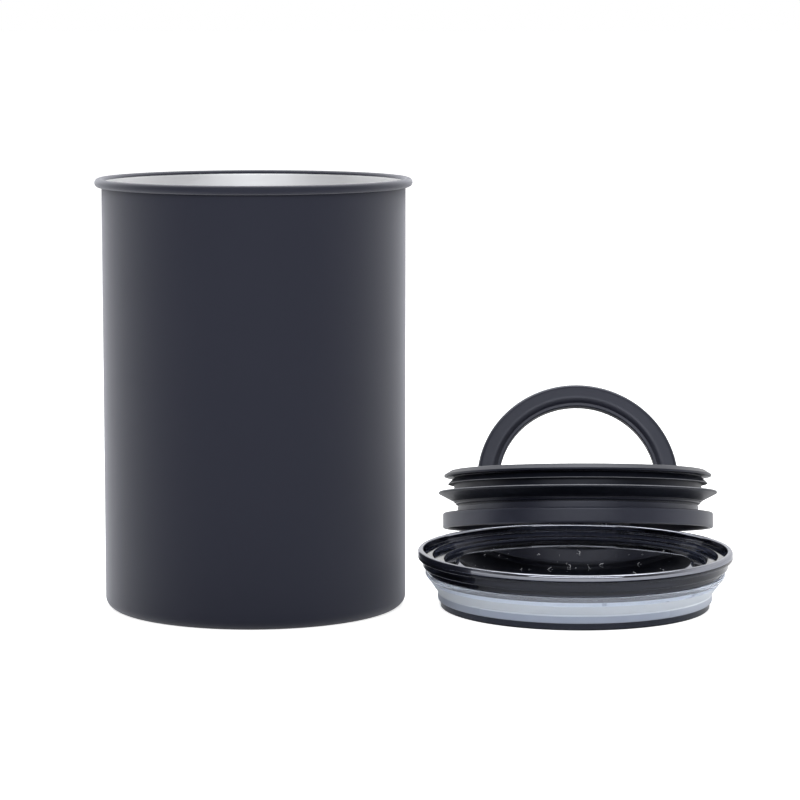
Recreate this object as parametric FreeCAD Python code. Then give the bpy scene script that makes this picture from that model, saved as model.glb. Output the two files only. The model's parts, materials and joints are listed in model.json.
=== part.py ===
"""Coffee canister with a valved plunger lid and a see-through press-on outer lid.

Millimetres, +Z up. The origin is the centre of the canister's foot ring and -Y is the front.
The canister stands open at the origin. The outer lid lies flat beside it and the plunger lid
leans on the outer lid's rear rim, the way the two are set down when the canister is in use.
"""
import FreeCAD
import Part

import math
import os

# Clearances shared by every fit
FIT_GAP = 0.05
RUNNING_GAP = 0.06
BODY_GAP = 0.3
CAM_GAP = 0.1

# Canister shell, drawn steel with a rolled rim
BODY_RADIUS = 60.3
BODY_HEIGHT = 171.4
SHELL_WALL = 0.7
FOOT_CORNER = 4.5
FOOT_RING_WIDTH = 4.0
FOOT_RECESS = 1.6
FOOT_STEP_RUN = 1.8
FOOT_STEP_ROUND = 0.9
CURL_RADIUS = 1.4
CURL_WRAP_DEG = 285.0
BORE_RADIUS = BODY_RADIUS - SHELL_WALL
RIM_RADIUS = BODY_RADIUS + 2.0 * CURL_RADIUS

# Outer lid
LID_STAND_OFF = 4.9
LID_CENTRE_Y = -4.7
LID_WALL = 2.0
LID_HEIGHT = 23.0
LID_SEAT_HEIGHT = 16.2
LID_RIM_SIDE = 3.6
LID_RIM_WIDTH = 2.5
LID_RIM_INNER_ROUND = 0.7
LID_RIM_OUTER_ROUND = 1.7
LID_STEP_INSET = 1.8
LID_LEDGE_DEPTH = 3.6
LID_FLOOR_DEPTH = 7.4
LID_DISC_MARGIN = 11.0
LID_DISC_DROP = 0.8
LID_DISC_BEVEL = 0.8
LID_PLUG_CLEARANCE = 0.5
LID_SKIRT_INSET = 5.6
LID_BEAD_HEIGHT = 2.3
LID_GROOVE_HEIGHT = 6.4
LID_GROOVE_DEPTH = 0.9
LID_EDGE_ROUND = 0.5

# Outer lid's gasket
LID_LIP_BITE = 0.5
LID_GASKET_PROUD = 1.0
LID_LIP_ROOT_HEIGHT = 3.0
LID_LIP_ROOT_THICK = 2.2
LID_LIP_TIP_THICK = 1.3
LID_LIP_HEADROOM = 2.35
LID_LIP_TIP_ROUND = 0.5

# Plunger lid, lower moulding
GUIDE_CLEARANCE = 0.4
BAND_HEIGHT = 6.9
BAND_ROUND = 0.8
PLUNGER_WALL = 2.2
LEDGE_WIDTH = 6.4
LEDGE_HEIGHT = 2.6
BASE_RECESS = 5.8
SPIGOT_HEIGHT = 2.6
SPIGOT_WALL = 2.0
SEAT_RADIUS = 6.0
SEAT_LIP_WIDTH = 1.0
SEAT_LIP_HEIGHT = 0.4
GUARD_RADIUS = 12.6
GUARD_WALL = 1.6
GUARD_SETBACK = 1.0
GUARD_SLOT_WIDTH = 5.0
GUARD_SLOTS = 6
RIB_COUNT = 6
RIB_THICK = 1.6
RIB_DEPTH = 2.4

# Flat seal between the two mouldings
BASE_SEAL_THICK = 0.6
BASE_SEAL_SETBACK = 0.3

# Plunger lid, upper moulding
FLANGE_OVERHANG = 5.8
FLANGE_THICK = 2.8
FLANGE_EDGE_THICK = 0.9
FLANGE_BEVEL_RUN = 3.0
FLANGE_TOP_ROUND = 1.8
FLANGE_EDGE_ROUND = 0.3
PLUNGER_HEIGHT = 25.4
DISH_DEPTH = 10.0
DISH_ROUND = 1.2
CHIMNEY_RADIUS = 7.6
CHIMNEY_WALL = 2.0
CHIMNEY_LIP = 1.0
STOP_BEAD_PROUD = 0.8
STOP_BEAD_HEIGHT = 1.0
LUG_WIDTH = 9.0
LUG_LENGTH = 5.8
LUG_ABOVE_AXLE = 2.6
LUG_THROAT = 3.6
LUG_SIDE_GAP = 0.6

# Wiper gasket round the neck
WIPER_HEIGHT = 11.2
WIPER_WALL = 1.4
WIPER_LIP_BITE = 1.4
WIPER_LIP_RISE = 3.5
WIPER_LIP_ROOT_THICK = 2.2
WIPER_LIP_TIP_THICK = 1.2
WIPER_LIP_ABOVE = 0.3
FIN_REACH = 4.4
FIN_DROP = 2.8
FIN_ROOT_THICK = 1.7
FIN_TIP_THICK = 0.9
FIN_BELOW_TOP = 0.4
WIPER_TIP_ROUND = 0.4

# Handle and its axle
HANDLE_WIDTH = 8.8
HANDLE_THICK = 7.0
HANDLE_OUTER_ROUND = 1.2
HANDLE_INNER_ROUND = 2.6
GRIP_RIB_PROUD = 1.0
GRIP_RIB_WIDTH = 4.0
GRIP_RIB_END_DEG = 9.0
HUB_INSET = 0.3
HUB_ROUND = 0.8
HANDLE_LEAN_DEG = 13.7
HANDLE_FOLD_DEG = 90.0
AXLE_DEPTH = 4.9
AXLE_RADIUS = 2.0
AXLE_FLAT = 1.5
AXLE_END_GAP = 0.6

# Valve
VALVE_LIFT = 2.4
CAM_BASE_RADIUS = 2.6
CAM_WIDTH = 5.0
CAM_POINTS = 13
CAP_RADIUS = 4.6
CAP_THICK = 1.5
STEM_RADIUS = 2.0
STEM_PIN_RADIUS = 1.3
STEM_PIN_LENGTH = 1.2
SEAL_THICK = 1.0
SEAL_RADIUS = 7.7
SEAL_GAP = 0.05
POPPET_RADIUS = 8.2
POPPET_THICK = 1.6
GUIDE_THICK = 1.9
GUIDE_RING_WALL = 1.2
GUIDE_HUB_RADIUS = 3.9
GUIDE_SPOKES = 3
GUIDE_SPOKE_WIDTH = 1.8
SPRING_WIRE_RADIUS = 0.35
SPRING_RADIUS = 3.3
SPRING_TURNS = 2.75
SPRING_GAP = 0.05
SPRING_SPANS_PER_TURN = 4

# Heights and radii that follow from the ones above
LID_CENTRE_X = BODY_RADIUS + RIM_RADIUS + LID_STAND_OFF
LID_RIM_BOTTOM = LID_HEIGHT - LID_RIM_SIDE
LID_LEDGE_TOP = LID_HEIGHT - LID_LEDGE_DEPTH
LID_FLOOR_TOP = LID_HEIGHT - LID_FLOOR_DEPTH
LID_DISC_TOP = LID_FLOOR_TOP - LID_DISC_DROP
LID_LIP_TIP_LOW = LID_FLOOR_TOP - LID_WALL - LID_LIP_HEADROOM - LID_LIP_TIP_THICK
LID_PLUG_RADIUS = BORE_RADIUS - LID_PLUG_CLEARANCE
LID_STEP_RADIUS = RIM_RADIUS - LID_STEP_INSET
LID_SKIRT_RADIUS = BORE_RADIUS - LID_SKIRT_INSET
LID_DISC_RADIUS = LID_SKIRT_RADIUS - LID_DISC_MARGIN
LID_GROOVE_RADIUS = LID_SKIRT_RADIUS - LID_GROOVE_DEPTH
LID_GROOVE_TOP = LID_BEAD_HEIGHT + LID_GROOVE_HEIGHT
BAND_RADIUS = BORE_RADIUS - GUIDE_CLEARANCE
NECK_RADIUS = BAND_RADIUS - LEDGE_WIDTH
FLANGE_RADIUS = NECK_RADIUS + FLANGE_OVERHANG
FIN_RADIUS = NECK_RADIUS + FIN_REACH
LEDGE_TOP = BAND_HEIGHT + LEDGE_HEIGHT
BASE_FLOOR_TOP = BASE_RECESS + PLUNGER_WALL
NECK_BOTTOM = LEDGE_TOP + BASE_SEAL_THICK
NECK_BORE = NECK_RADIUS - PLUNGER_WALL
HANDLE_RADIUS = NECK_BORE - LUG_LENGTH - LUG_SIDE_GAP
FLANGE_BOTTOM = PLUNGER_HEIGHT - FLANGE_THICK
DISH_FLOOR = PLUNGER_HEIGHT - DISH_DEPTH
AXLE_HEIGHT = PLUNGER_HEIGHT - AXLE_DEPTH
GUIDE_TOP = BASE_FLOOR_TOP + GUIDE_THICK
VALVE_RATIO = VALVE_LIFT / math.radians(HANDLE_FOLD_DEG)
LEAN = math.radians(HANDLE_LEAN_DEG)
FOLD = math.radians(HANDLE_FOLD_DEG)

# The plunger's lean: its band bridges from the floor behind to the outer lid's rear rim
LEAN_SPAN = 2.0 * BAND_RADIUS - PLUNGER_WALL / 2.0 - BAND_ROUND
TILT = math.asin((LID_HEIGHT + BODY_GAP) / LEAN_SPAN)
PLUNGER_OFFSET_X = 7.8
PLUNGER_X = LID_CENTRE_X + PLUNGER_OFFSET_X
RIM_CONTACT_Y = LID_CENTRE_Y + RIM_RADIUS - LID_RIM_WIDTH / 2.0
PLUNGER_Y = RIM_CONTACT_Y + (BAND_RADIUS - PLUNGER_WALL / 2.0) * math.cos(TILT)
PLUNGER_Z = (BAND_RADIUS - BAND_ROUND) * math.sin(TILT) + BAND_ROUND * (1.0 - math.cos(TILT))

UP = FreeCAD.Vector(0, 0, 1)
RIGHT = FreeCAD.Vector(1, 0, 0)
BACK = FreeCAD.Vector(0, 1, 0)
FULL_TURN = 360.0


def corner(before, point, after, radius):
    """Return the two tangent points and the middle of a rounded corner, limited by its sides."""
    to_before = (before - point).normalize()
    to_after = (after - point).normalize()
    half = to_before.getAngle(to_after) / 2.0
    room = min((before - point).Length, (after - point).Length) / 2.0
    reach = min(radius / math.tan(half), room)
    used = reach * math.tan(half)
    bisector = (to_before + to_after).normalize()
    middle = point + bisector * (used / math.sin(half) - used)
    return point + to_before * reach, middle, point + to_after * reach


def rounded_edges(points, closed=True):
    """Turn (r, z, radius) points of a half section into line and arc edges."""
    spots = [FreeCAD.Vector(p[0], 0, p[1]) for p in points]
    radii = [p[2] if len(p) > 2 else 0 for p in points]
    count = len(spots)
    starts = []
    ends = []
    edges = []
    for i in range(count):
        open_end = not closed and i in (0, count - 1)
        if radii[i] > 0 and not open_end:
            first, middle, last = corner(spots[i - 1], spots[i], spots[(i + 1) % count], radii[i])
            edges.append((i, Part.Arc(first, middle, last).toShape()))
        else:
            first = last = spots[i]
        starts.append(first)
        ends.append(last)
    for i in range(count if closed else count - 1):
        following = starts[(i + 1) % count]
        if (following - ends[i]).Length > FreeCAD.Base.Precision.confusion():
            edges.append((i, Part.makeLine(ends[i], following)))
    return [edge for _, edge in sorted(edges, key=lambda item: item[0])]


def turned(points):
    """Revolve a closed half section about Z."""
    wire = Part.Wire(Part.__sortEdges__(rounded_edges(points)))
    return Part.Face(wire).revolve(FreeCAD.Vector(), UP, FULL_TURN)


def tube(outer, inner, bottom, height):
    """Return a straight ring standing on `bottom`."""
    base = FreeCAD.Vector(0, 0, bottom)
    return Part.makeCylinder(outer, height, base).cut(Part.makeCylinder(inner, height, base))


def block(length, width, height, x, y, z):
    """Return a box centred on x and y, standing on z."""
    return Part.makeBox(length, width, height, FreeCAD.Vector(x - length / 2.0, y - width / 2.0, z))


def around(shape, count):
    """Fuse equal copies of a shape spaced about Z."""
    copies = []
    for i in range(count):
        copy = shape.copy()
        copy.rotate(FreeCAD.Vector(), UP, FULL_TURN * i / count)
        copies.append(copy)
    return copies[0].multiFuse(copies[1:])


def canister_shell():
    """Drawn shell: recessed foot, rounded heel, straight wall and a rolled rim."""
    curl_r = BODY_RADIUS - SHELL_WALL / 2.0 + CURL_RADIUS
    outer_curl = CURL_RADIUS + SHELL_WALL / 2.0
    inner_curl = CURL_RADIUS - SHELL_WALL / 2.0
    curl_z = BODY_HEIGHT - outer_curl
    ring_in = BODY_RADIUS - FOOT_CORNER - FOOT_RING_WIDTH
    panel_r = ring_in - FOOT_STEP_RUN
    outside = [
        (0.0, FOOT_RECESS),
        (panel_r, FOOT_RECESS, FOOT_STEP_ROUND),
        (ring_in, 0.0, FOOT_STEP_ROUND),
        (BODY_RADIUS, 0.0, FOOT_CORNER),
        (BODY_RADIUS, curl_z),
    ]
    inside = [
        (BORE_RADIUS, curl_z),
        (BORE_RADIUS, SHELL_WALL, FOOT_CORNER - SHELL_WALL),
        (ring_in, SHELL_WALL, FOOT_STEP_ROUND),
        (panel_r, FOOT_RECESS + SHELL_WALL, FOOT_STEP_ROUND),
        (0.0, FOOT_RECESS + SHELL_WALL),
    ]

    def on_curl(radius, share_of_wrap):
        angle = math.radians(180.0 - CURL_WRAP_DEG * share_of_wrap)
        return FreeCAD.Vector(curl_r + radius * math.cos(angle), 0, curl_z + radius * math.sin(angle))

    def curl(radius):
        spots = [on_curl(radius, s) for s in (0.0, 0.5, 1.0)]
        return Part.Arc(*spots).toShape()

    edges = rounded_edges(outside, closed=False) + rounded_edges(inside, closed=False)
    edges += [curl(outer_curl), curl(inner_curl)]
    edges.append(Part.makeLine(on_curl(outer_curl, 1.0), on_curl(inner_curl, 1.0)))
    axis_top = FreeCAD.Vector(0, 0, FOOT_RECESS + SHELL_WALL)
    edges.append(Part.makeLine(axis_top, FreeCAD.Vector(0, 0, FOOT_RECESS)))
    wire = Part.Wire(Part.__sortEdges__(edges))
    return Part.Face(wire).revolve(FreeCAD.Vector(), UP, FULL_TURN)


def outer_lid_shell():
    """See-through press-on lid: raised rim, ledge, stepped dish floor and a grooved skirt."""
    bevel_angle = math.atan2(LID_DISC_DROP, LID_DISC_BEVEL)
    under_shift = LID_WALL * math.tan(bevel_angle / 2.0)
    floor_under = LID_FLOOR_TOP - LID_WALL
    disc_under = LID_DISC_TOP - LID_WALL
    dish_radius = LID_PLUG_RADIUS - LID_WALL
    bevel_out = LID_DISC_RADIUS + LID_DISC_BEVEL
    rim_in = RIM_RADIUS - LID_RIM_WIDTH
    skirt_in = LID_SKIRT_RADIUS - LID_WALL
    return turned([
        (0.0, LID_DISC_TOP),
        (LID_DISC_RADIUS, LID_DISC_TOP, LID_EDGE_ROUND),
        (bevel_out, LID_FLOOR_TOP, LID_EDGE_ROUND),
        (dish_radius, LID_FLOOR_TOP, LID_EDGE_ROUND),
        (dish_radius, LID_LEDGE_TOP, LID_EDGE_ROUND),
        (rim_in, LID_LEDGE_TOP, LID_EDGE_ROUND),
        (rim_in, LID_HEIGHT, LID_RIM_INNER_ROUND),
        (RIM_RADIUS, LID_HEIGHT, LID_RIM_OUTER_ROUND),
        (RIM_RADIUS, LID_RIM_BOTTOM, LID_EDGE_ROUND),
        (LID_STEP_RADIUS, LID_RIM_BOTTOM),
        (LID_STEP_RADIUS, LID_SEAT_HEIGHT, LID_EDGE_ROUND),
        (LID_PLUG_RADIUS, LID_SEAT_HEIGHT),
        (LID_PLUG_RADIUS, floor_under, LID_EDGE_ROUND),
        (LID_SKIRT_RADIUS, floor_under),
        (LID_SKIRT_RADIUS, LID_GROOVE_TOP),
        (LID_GROOVE_RADIUS, LID_GROOVE_TOP),
        (LID_GROOVE_RADIUS, LID_BEAD_HEIGHT),
        (LID_SKIRT_RADIUS, LID_BEAD_HEIGHT),
        (LID_SKIRT_RADIUS, 0.0, LID_EDGE_ROUND),
        (skirt_in, 0.0, LID_EDGE_ROUND),
        (skirt_in, floor_under, LID_EDGE_ROUND),
        (bevel_out + under_shift, floor_under),
        (LID_DISC_RADIUS + under_shift, disc_under),
        (0.0, disc_under),
    ])


def outer_lid_gasket():
    """Soft ring in the skirt's groove with one lip flared up and out."""
    inner = LID_GROOVE_RADIUS + FIT_GAP
    outer = LID_SKIRT_RADIUS + LID_GASKET_PROUD
    tip = BORE_RADIUS + LID_LIP_BITE
    bottom = LID_BEAD_HEIGHT + FIT_GAP
    top = LID_GROOVE_TOP - FIT_GAP
    root_low = bottom + LID_LIP_ROOT_HEIGHT
    return turned([
        (inner, bottom),
        (outer, bottom, LID_LIP_TIP_ROUND),
        (outer, root_low),
        (tip, LID_LIP_TIP_LOW, LID_LIP_TIP_ROUND),
        (tip, LID_LIP_TIP_LOW + LID_LIP_TIP_THICK, LID_LIP_TIP_ROUND),
        (outer, root_low + LID_LIP_ROOT_THICK),
        (outer, top, LID_LIP_TIP_ROUND),
        (inner, top),
    ])


def plunger_base():
    """Lower moulding: guide band, ledge, floor with the valve seat, guard ring and ribs."""
    band_in = BAND_RADIUS - PLUNGER_WALL
    ledge_in = NECK_RADIUS - PLUNGER_WALL
    spigot_out = NECK_BORE - FIT_GAP
    spigot_in = spigot_out - SPIGOT_WALL
    shoulder = BAND_HEIGHT - PLUNGER_WALL
    body = turned([
        (SEAT_RADIUS, BASE_RECESS),
        (ledge_in, BASE_RECESS),
        (ledge_in, shoulder),
        (band_in, shoulder, BAND_ROUND),
        (band_in, 0.0, BAND_ROUND),
        (BAND_RADIUS, 0.0, BAND_ROUND),
        (BAND_RADIUS, BAND_HEIGHT, BAND_ROUND),
        (NECK_RADIUS, BAND_HEIGHT),
        (NECK_RADIUS, LEDGE_TOP),
        (spigot_out, LEDGE_TOP),
        (spigot_out, LEDGE_TOP + SPIGOT_HEIGHT),
        (spigot_in, LEDGE_TOP + SPIGOT_HEIGHT),
        (spigot_in, BASE_FLOOR_TOP),
        (SEAT_RADIUS, BASE_FLOOR_TOP),
    ])
    seat_low = BASE_RECESS - SEAT_LIP_HEIGHT
    seat = tube(SEAT_RADIUS + SEAT_LIP_WIDTH, SEAT_RADIUS, seat_low, SEAT_LIP_HEIGHT)
    guard_height = BASE_RECESS - GUARD_SETBACK
    guard_in = GUARD_RADIUS - GUARD_WALL
    guard = tube(GUARD_RADIUS, guard_in, GUARD_SETBACK, guard_height)
    slot = block(GUARD_RADIUS, GUARD_SLOT_WIDTH, guard_height, GUARD_RADIUS, 0.0, GUARD_SETBACK)
    slot.rotate(FreeCAD.Vector(), UP, FULL_TURN / GUARD_SLOTS / 2.0)
    guard = guard.cut(around(slot, GUARD_SLOTS))
    rib_length = ledge_in - guard_in
    rib_middle = (ledge_in + guard_in) / 2.0
    rib = block(rib_length, RIB_THICK, RIB_DEPTH, rib_middle, 0.0, BASE_RECESS - RIB_DEPTH)
    rib = rib.cut(Part.makeCylinder(guard_in, BASE_RECESS))
    return body.multiFuse([seat, guard, around(rib, RIB_COUNT)]).removeSplitter()


def base_seal():
    """Flat ring squeezed between the two mouldings."""
    inner = NECK_BORE + FIT_GAP
    return tube(NECK_RADIUS - BASE_SEAL_SETBACK, inner, LEDGE_TOP, BASE_SEAL_THICK)


def lug():
    """Snap-in bearing for one axle end, on the +X side of the dish."""
    start = HANDLE_RADIUS + LUG_SIDE_GAP
    top = AXLE_HEIGHT + LUG_ABOVE_AXLE
    middle = start + LUG_LENGTH / 2.0
    body = block(LUG_LENGTH, LUG_WIDTH, top - DISH_FLOOR, middle, 0.0, DISH_FLOOR)
    hole_at = FreeCAD.Vector(start, 0, AXLE_HEIGHT)
    hole = Part.makeCylinder(AXLE_RADIUS + RUNNING_GAP, LUG_LENGTH, hole_at, RIGHT)
    throat = block(LUG_LENGTH, LUG_THROAT, LUG_ABOVE_AXLE, middle, 0.0, AXLE_HEIGHT)
    return body.cut(hole.fuse(throat))


def plunger_top():
    """Upper moulding: neck, flange, handle dish, valve chimney and the two axle lugs."""
    dish_under = DISH_FLOOR - PLUNGER_WALL
    chimney_out = CHIMNEY_RADIUS + CHIMNEY_WALL
    chimney_low = BASE_FLOOR_TOP + FIT_GAP
    chimney_top = DISH_FLOOR + CHIMNEY_LIP
    bead_top = FLANGE_BOTTOM - WIPER_HEIGHT - FIT_GAP
    bead_low = bead_top - STOP_BEAD_HEIGHT
    bead = NECK_RADIUS + STOP_BEAD_PROUD
    body = turned([
        (CHIMNEY_RADIUS, chimney_low),
        (chimney_out, chimney_low),
        (chimney_out, dish_under, DISH_ROUND),
        (NECK_BORE, dish_under),
        (NECK_BORE, NECK_BOTTOM),
        (NECK_RADIUS, NECK_BOTTOM),
        (NECK_RADIUS, bead_low),
        (bead, bead_low, STOP_BEAD_PROUD),
        (bead, bead_top),
        (NECK_RADIUS, bead_top),
        (NECK_RADIUS, FLANGE_BOTTOM),
        (FLANGE_RADIUS, FLANGE_BOTTOM, FLANGE_EDGE_ROUND),
        (FLANGE_RADIUS, FLANGE_BOTTOM + FLANGE_EDGE_THICK, FLANGE_EDGE_ROUND),
        (FLANGE_RADIUS - FLANGE_BEVEL_RUN, PLUNGER_HEIGHT, FLANGE_TOP_ROUND),
        (NECK_BORE, PLUNGER_HEIGHT, DISH_ROUND),
        (NECK_BORE, DISH_FLOOR, DISH_ROUND),
        (chimney_out, DISH_FLOOR),
        (chimney_out, chimney_top),
        (CHIMNEY_RADIUS, chimney_top),
    ])
    lugs = around(lug(), 2)
    return body.fuse(lugs).removeSplitter()


def wiper_gasket():
    """Soft sleeve on the neck with a wide lower lip, flared upward, and a drooping upper fin."""
    inner = NECK_RADIUS + FIT_GAP
    outer = inner + WIPER_WALL
    top = FLANGE_BOTTOM - FIT_GAP
    bottom = FLANGE_BOTTOM - WIPER_HEIGHT
    lip = BORE_RADIUS + WIPER_LIP_BITE
    lip_low = bottom + WIPER_LIP_ABOVE
    lip_tip_low = lip_low + WIPER_LIP_RISE
    fin_high = top - FIN_BELOW_TOP
    fin_tip = fin_high - FIN_DROP
    return turned([
        (inner, bottom),
        (outer, bottom),
        (outer, lip_low),
        (lip, lip_tip_low, WIPER_TIP_ROUND),
        (lip, lip_tip_low + WIPER_LIP_TIP_THICK, WIPER_TIP_ROUND),
        (outer, lip_low + WIPER_LIP_ROOT_THICK),
        (outer, fin_high - FIN_ROOT_THICK),
        (FIN_RADIUS - FIN_TIP_THICK, fin_tip, WIPER_TIP_ROUND),
        (FIN_RADIUS, fin_tip, WIPER_TIP_ROUND),
        (outer, fin_high),
        (outer, top),
        (inner, top),
    ])


def keyed_rod(radius, flat, length):
    """Return a rod along X, centred on the axle line, with a flat on its underside."""
    start = FreeCAD.Vector(-length / 2.0, 0, AXLE_HEIGHT)
    rod = Part.makeCylinder(radius, length, start, RIGHT)
    below = block(length, 2.0 * radius, radius, 0.0, 0.0, AXLE_HEIGHT - flat - radius)
    return rod.cut(below)


def arched(section, end_deg):
    """Revolve a section about the axle's cross line, from `end_deg` above one hub to the other."""
    centre = FreeCAD.Vector(0, 0, AXLE_HEIGHT)
    face = Part.Face(Part.Wire(Part.__sortEdges__(rounded_edges(section))))
    face.rotate(FreeCAD.Vector(), RIGHT, -FULL_TURN / 4.0)
    face.translate(centre)
    face.rotate(centre, BACK, -end_deg)
    return face.revolve(centre, BACK, 2.0 * end_deg - FULL_TURN / 2.0)


def handle():
    """Half-ring grip with a rib along its inside and a round hub at each foot, keyed to the axle."""
    middle = HANDLE_RADIUS - HANDLE_WIDTH / 2.0
    half_width = HANDLE_WIDTH / 2.0
    half_thick = HANDLE_THICK / 2.0
    inside = middle - half_width
    outside = middle + half_width
    grip = arched([
        (inside, -half_thick, HANDLE_INNER_ROUND),
        (outside, -half_thick, HANDLE_OUTER_ROUND),
        (outside, half_thick, HANDLE_OUTER_ROUND),
        (inside, half_thick, HANDLE_INNER_ROUND),
    ], 0.0)
    half_rib = GRIP_RIB_WIDTH / 2.0
    rib_crest = inside - GRIP_RIB_PROUD
    rib_root = inside + GRIP_RIB_PROUD
    rib = arched([
        (rib_crest, -half_rib, GRIP_RIB_PROUD / 2.0),
        (rib_root, -half_rib),
        (rib_root, half_rib),
        (rib_crest, half_rib, GRIP_RIB_PROUD / 2.0),
    ], GRIP_RIB_END_DEG)
    centre = FreeCAD.Vector(0, 0, AXLE_HEIGHT)
    hub_half = half_width - HUB_INSET
    hub_radius = half_thick - HUB_INSET
    hub = turned([
        (0.0, -hub_half),
        (hub_radius, -hub_half, HUB_ROUND),
        (hub_radius, hub_half, HUB_ROUND),
        (0.0, hub_half),
    ])
    hub.rotate(FreeCAD.Vector(), BACK, FULL_TURN / 4.0)
    hubs = []
    for side in (-1.0, 1.0):
        copy = hub.copy()
        copy.translate(centre + RIGHT * (side * middle))
        hubs.append(copy)
    body = grip.multiFuse(hubs + [rib])
    return body.cut(keyed_rod(AXLE_RADIUS + FIT_GAP, AXLE_FLAT + FIT_GAP, 2.0 * HANDLE_RADIUS))


def pivot_axle():
    """Steel rod, keyed between the lugs and round where it turns in them."""
    lug_start = HANDLE_RADIUS + LUG_SIDE_GAP
    length = 2.0 * (lug_start + LUG_LENGTH - AXLE_END_GAP)
    start = FreeCAD.Vector(-length / 2.0, 0, AXLE_HEIGHT)
    rod = Part.makeCylinder(AXLE_RADIUS, length, start, RIGHT)
    keyed = 2.0 * lug_start
    below = block(keyed, 2.0 * AXLE_RADIUS, AXLE_RADIUS, 0.0, 0.0, AXLE_HEIGHT - AXLE_FLAT - AXLE_RADIUS)
    return rod.cut(below)


def cam_support(angle):
    """Distance from the axle to the flat follower with the handle folded back by `angle`."""
    return CAM_BASE_RADIUS + VALVE_RATIO * (FOLD - angle)


def valve_cam():
    """Cam keyed to the axle, drawn for a steady lift on a flat follower."""

    def spot(up, back):
        return FreeCAD.Vector(-CAM_WIDTH / 2.0, back, AXLE_HEIGHT + up)

    flank = []
    for i in range(CAM_POINTS):
        angle = FOLD * i / (CAM_POINTS - 1)
        reach = cam_support(angle)
        up = -reach * math.cos(angle) - VALVE_RATIO * math.sin(angle)
        back = reach * math.sin(angle) - VALVE_RATIO * math.cos(angle)
        flank.append(spot(up, back))
    curve = Part.BSplineCurve()
    curve.interpolate(flank)
    behind = spot(0.0, CAM_BASE_RADIUS)
    above = spot(CAM_BASE_RADIUS, 0.0)
    front = spot(0.0, -CAM_BASE_RADIUS)
    edges = [
        curve.toShape(),
        Part.makeLine(flank[-1], behind),
        Part.Arc(behind, above, front).toShape(),
        Part.makeLine(front, flank[0]),
    ]
    body = Part.Face(Part.Wire(Part.__sortEdges__(edges))).extrude(RIGHT * CAM_WIDTH)
    return body.cut(keyed_rod(AXLE_RADIUS + FIT_GAP, AXLE_FLAT + FIT_GAP, CAM_WIDTH))


def cap_top():
    """Height of the follower's top with the handle at its shown lean."""
    return AXLE_HEIGHT - cam_support(LEAN) - CAM_GAP


def seal_top():
    """Height of the valve seal's face: clear of the seat by the lift still to go."""
    seat = BASE_RECESS - SEAT_LIP_HEIGHT
    return seat - SEAL_GAP - VALVE_RATIO * (FOLD - LEAN)


def valve_stem():
    """Poppet disc and stem in one piece, with a pin for the cap."""
    disc_top = seal_top() - SEAL_THICK
    shoulder = cap_top() - CAP_THICK
    disc_at = FreeCAD.Vector(0, 0, disc_top - POPPET_THICK)
    disc = Part.makeCylinder(POPPET_RADIUS, POPPET_THICK, disc_at)
    rod = Part.makeCylinder(STEM_RADIUS, shoulder - disc_top, FreeCAD.Vector(0, 0, disc_top))
    pin = Part.makeCylinder(STEM_PIN_RADIUS, STEM_PIN_LENGTH, FreeCAD.Vector(0, 0, shoulder))
    return disc.multiFuse([rod, pin])


def valve_seal():
    """Soft washer on the poppet."""
    return tube(SEAL_RADIUS, STEM_RADIUS + FIT_GAP, seal_top() - SEAL_THICK, SEAL_THICK)


def stem_cap():
    """Round follower pressed on the stem's pin; the cam bears on its top."""
    low = cap_top() - CAP_THICK
    body = Part.makeCylinder(CAP_RADIUS, CAP_THICK, FreeCAD.Vector(0, 0, low))
    hole_at = FreeCAD.Vector(0, 0, low)
    return body.cut(Part.makeCylinder(STEM_PIN_RADIUS + FIT_GAP, STEM_PIN_LENGTH + FIT_GAP, hole_at))


def valve_guide():
    """Spoked bush under the spring: guides the stem and lets air past."""
    outer = CHIMNEY_RADIUS - FIT_GAP
    ring_in = outer - GUIDE_RING_WALL
    ring = tube(outer, ring_in, BASE_FLOOR_TOP, GUIDE_THICK)
    hub = Part.makeCylinder(GUIDE_HUB_RADIUS, GUIDE_THICK, FreeCAD.Vector(0, 0, BASE_FLOOR_TOP))
    reach = (ring_in + outer) / 2.0
    spoke = block(reach, GUIDE_SPOKE_WIDTH, GUIDE_THICK, reach / 2.0, 0.0, BASE_FLOOR_TOP)
    body = ring.multiFuse([hub, around(spoke, GUIDE_SPOKES)]).removeSplitter()
    bore_at = FreeCAD.Vector(0, 0, BASE_FLOOR_TOP)
    return body.cut(Part.makeCylinder(STEM_RADIUS + RUNNING_GAP, GUIDE_THICK, bore_at))


def tangent_arc(start, peak, end):
    """Return the arc between two points whose end tangents meet at `peak`."""
    chord_middle = (start + end) * 0.5
    half_chord = (end - start).Length / 2.0
    half_turn = math.acos(half_chord / (peak - start).Length)
    sagitta = half_chord * math.tan(half_turn / 2.0)
    middle = chord_middle + (peak - chord_middle).normalize() * sagitta
    return Part.Arc(start, middle, end).toShape()


def biarc(start, start_way, end, end_way):
    """Join two points by two arcs that are tangent to each other and to the given directions."""
    span = end - start
    along = span.dot(start_way + end_way)
    bend = 2.0 * (1.0 - start_way.dot(end_way))
    reach = (math.sqrt(along * along + bend * span.dot(span)) - along) / bend
    first_peak = start + start_way * reach
    last_peak = end - end_way * reach
    joint = (first_peak + last_peak) * 0.5
    return [tangent_arc(start, first_peak, joint), tangent_arc(joint, last_peak, end)]


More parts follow.
